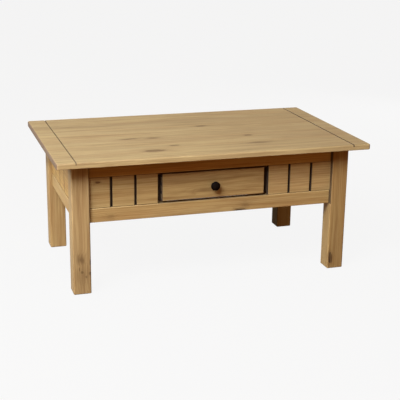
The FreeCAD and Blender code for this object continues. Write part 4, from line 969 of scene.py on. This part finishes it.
class PINETABLE_OT_dress_apron(bpy.types.Operator):
    """Give the rails and the grooved panels their figure, and dark wax and painted shade where they meet and
    beside the drawer
    """

    bl_idname = "pine_table.dress_apron"
    bl_label = "Apron"

    def execute(self, context):
        inner_leg = box_mm("leg_back_right")[0]
        rail_foot, rail_top = (corner.z for corner in box_mm("front_bottom_rail"))
        panel_top = box_mm("front_top_rail")[0].z
        opening = box_mm("front_panel_right")[0].x
        # Painted shade on the bottom rail's top, where it shows in the gap below the drawer
        shade_under_drawer = (0.55, (Band("X", 0, opening - 1), Band("Z", rail_top, 0.2)))
        torn_knot = (0.85, (Band("x", 84, 6, 7), Band("Z", rail_foot, 2.5, 3)))
        # The pieces of the left end are made lighter than those of the other sides: painted light
        for side, side_painted_lift in (("front", 1), ("back", 1), ("left", 1.15), ("right", 1)):
            axes = ALONG_FRONT if side in ("front", "back") else ALONG_END
            # Dark wax and painted shade at the rails' ends, where they meet the legs
            joint = (0.8, (Band(axes[0], along(inner_leg, axes[0]), 1.6),))
            wax_and_shade_marks = (joint, shade_under_drawer, torn_knot) if side == "front" else (joint,)
            depth = along(box_mm(f"{side}_top_rail")[0], axes[2])
            # The top rails lie in the top's shadow and are made lighter and stronger in colour than the
            # bottom rails: painted light
            for row, pith, strength, lift in (("top", (440, depth * 1.1), 1.04, 1.26),
                                              ("bottom", (180, depth * 0.9), 0.98, 1.03)):
                pine(f"Pine, planed and waxed, {side} {row} rail", [f"{side}_{row}_rail"], axes, pith,
                     RAIL_KNOTS.get(f"{side}_{row}", ()), wax_and_shade_marks, tone=(0.502, strength, lift * side_painted_lift))
        # Dark wax and painted shade in the upright grooves of the front
        brims = tuple((0.9, (Band("X", groove, 3.2),)) for groove in FRONT_GROOVES)
        # Painted shade on the panels' ends at the drawer opening, and dark wax and painted shade where the
        # panels meet the rails
        borders = ((0.5, (Band("X", opening, 0.5),)), (0.8, (Band("Z", panel_top, 0.8),)),
                   (0.9, (Band("Z", rail_top, 1),)))
        # The left panel is made lighter than the other panels: painted light
        for node, axes, pith, tone in (
                ("front_panel_left", ALONG_FRONT, (420, -180), (0.503, 0.98, 1.05)),
                ("front_panel_right", ALONG_FRONT, (260, -290), (0.506, 0.93, 1.17)),
                ("back_panel", ALONG_FRONT, (300, 150), (0.503, 1, 1)),
                ("left_panel", ALONG_END, (250, -520), (0.5, 1.08, 1.25)),
                ("right_panel", ALONG_END, (380, 350), (0.503, 1, 1))):
            face = max(abs(along(corner, axes[2])) for corner in box_mm(node))
            # Dark wax and painted shade on the floors of the panels' grooves
            cuts = (0.95, (Band(axes[2], face - GROOVE_WAX_AND_SHADE_DEPTH, 3.4),))
            wax_and_shade_marks = (cuts, *(brims if node.startswith("front") else ()), *borders)
            pine(f"Pine, grooved and waxed, {node.replace('_', ' ')}", [node], axes, pith,
                 PANEL_KNOTS.get(node, ()), wax_and_shade_marks, tone=tone)
        return {"FINISHED"}


class PINETABLE_OT_dress_inside(bpy.types.Operator):
    """Give the corner blocks, runners, dowels and brackets their finish"""

    bl_idname = "pine_table.dress_inside"
    bl_label = "Inside"

    def execute(self, context):
        pine("Pine, planed, corner blocks", [f"corner_block_{corner}" for corner in CORNERS], ALONG_FRONT,
             (300, 900), waxed=False, tone=BARE_TONE)
        bars = [f"drawer_{part}_{side}" for part in ("runner", "guide", "kicker")
                for side in ("left", "right")]
        # Painted shade on the ends of the guides, which show beside the drawer
        guide_end = box_mm("drawer_guide_left")[1].y
        pine("Pine, planed, drawer bars", bars + ["drawer_stops"], ALONG_END, (210, -700),
             wax_and_shade_marks=((0.9, (Band("Y", guide_end, 1),)),), waxed=False, tone=BARE_TONE)
        dress(["rail_dowels"], turned_beech())
        dress(["top_brackets"], bright_zinc())
        return {"FINISHED"}


class PINETABLE_OT_dress_drawer(bpy.types.Operator):
    """Give the drawer its waxed front and its plain box"""

    bl_idname = "pine_table.dress_drawer"
    bl_label = "Drawer"

    def execute(self, context):
        high = box_mm("drawer_front")[1]
        # Painted shade along the edges of the front, which line the gaps round the drawer
        rims = ((0.6, (Band("X", high.x, 1),)), (0.5, (Band("Z", high.z, 0.6),)))
        pine("Pine, planed and waxed, drawer front", ["drawer_front"], ALONG_FRONT, (330, -150),
             DRAWER_KNOTS, rims, tone=(0.504, 0.97, 0.98))
        # Painted shade on the sides near the front, where they show in the gaps beside the drawer
        side_end = -box_mm("drawer_side_left")[0].y
        pine("Pine, planed, drawer sides", ["drawer_side_left", "drawer_side_right"], ALONG_END, (420, -330),
             wax_and_shade_marks=((0.55, (Band("Y", side_end - 2, 9),)),), waxed=False, tone=BARE_TONE)
        pine("Pine, planed, drawer back", ["drawer_back"], ALONG_FRONT, (390, 400), waxed=False,
             tone=BARE_TONE)
        sanded_plywood("drawer_bottom")
        return {"FINISHED"}


class PINETABLE_OT_fit_screws(bpy.types.Operator):
    """Put screws with crosses in their heads in the place of the plain ones"""

    bl_idname = "pine_table.fit_screws"
    bl_label = "Screws"

    def execute(self, context):
        for node in ("corner_block_screws", "top_screws", "bracket_screws", "stop_screws"):
            cross_screws(node, "frame")
        for node in ("drawer_bottom_screws", "knob_screw"):
            cross_screws(node, "drawer")
        return {"FINISHED"}


class PINETABLE_OT_fit_bolts(bpy.types.Operator):
    """Put threaded hanger bolts, washers and chamfered nuts in the place of the plain ones"""

    bl_idname = "pine_table.fit_bolts"
    bl_label = "Bolts"

    def execute(self, context):
        hanger_bolts()
        stamped_washers()
        chamfered_nuts()
        return {"FINISHED"}


class PINETABLE_OT_fit_knob(bpy.types.Operator):
    """Put the finished knob on the drawer"""

    bl_idname = "pine_table.fit_knob"
    bl_label = "Knob"

    def execute(self, context):
        turned_knob()
        return {"FINISHED"}


class PINETABLE_OT_set_stage(bpy.types.Operator):
    """Set the floor, the lights and the camera"""

    bl_idname = "pine_table.set_stage"
    bl_label = "Stage"

    def execute(self, context):
        scene = context.scene
        scene.view_settings.view_transform = "Standard"
        pale_floor(scene)
        studio_room(scene)
        softboxes(scene)
        front_camera(scene)
        return {"FINISHED"}


class PINETABLE_PT_sidebar(bpy.types.Panel):
    """List the steps that dress the table"""

    bl_idname = "PINETABLE_PT_sidebar"
    bl_label = "Pine Table"
    bl_space_type = "VIEW_3D"
    bl_region_type = "UI"
    bl_category = "Pine Table"

    def draw(self, context):
        for step in OPERATORS:
            self.layout.operator(step.bl_idname)


GROUPS = (
    ("pine_finish", PineFinish),
    ("metal_finish", MetalFinish),
    ("fitting_sizes", FittingSizes),
    ("studio", StudioSettings),
)
OPERATORS = (
    PINETABLE_OT_dress_top,
    PINETABLE_OT_dress_legs,
    PINETABLE_OT_dress_apron,
    PINETABLE_OT_dress_inside,
    PINETABLE_OT_dress_drawer,
    PINETABLE_OT_fit_screws,
    PINETABLE_OT_fit_bolts,
    PINETABLE_OT_fit_knob,
    PINETABLE_OT_set_stage,
)


def register():
    """Register the settings, the steps and the panel."""
    for name, group in GROUPS:
        bpy.utils.register_class(group)
        setattr(bpy.types.Scene, name, bpy.props.PointerProperty(type=group))
    for step in OPERATORS:
        bpy.utils.register_class(step)
    bpy.utils.register_class(PINETABLE_PT_sidebar)


def unregister():
    """Take the panel, the steps and the settings away again."""
    bpy.utils.unregister_class(PINETABLE_PT_sidebar)
    for step in reversed(OPERATORS):
        bpy.utils.unregister_class(step)
    for name, group in reversed(GROUPS):
        delattr(bpy.types.Scene, name)
        bpy.utils.unregister_class(group)


def main():
    """Dress the table and set the stage."""
    register()
    for step in OPERATORS:
        group, name = step.bl_idname.split(".")
        getattr(getattr(bpy.ops, group), name)()


if __name__ == "__main__":
    main()
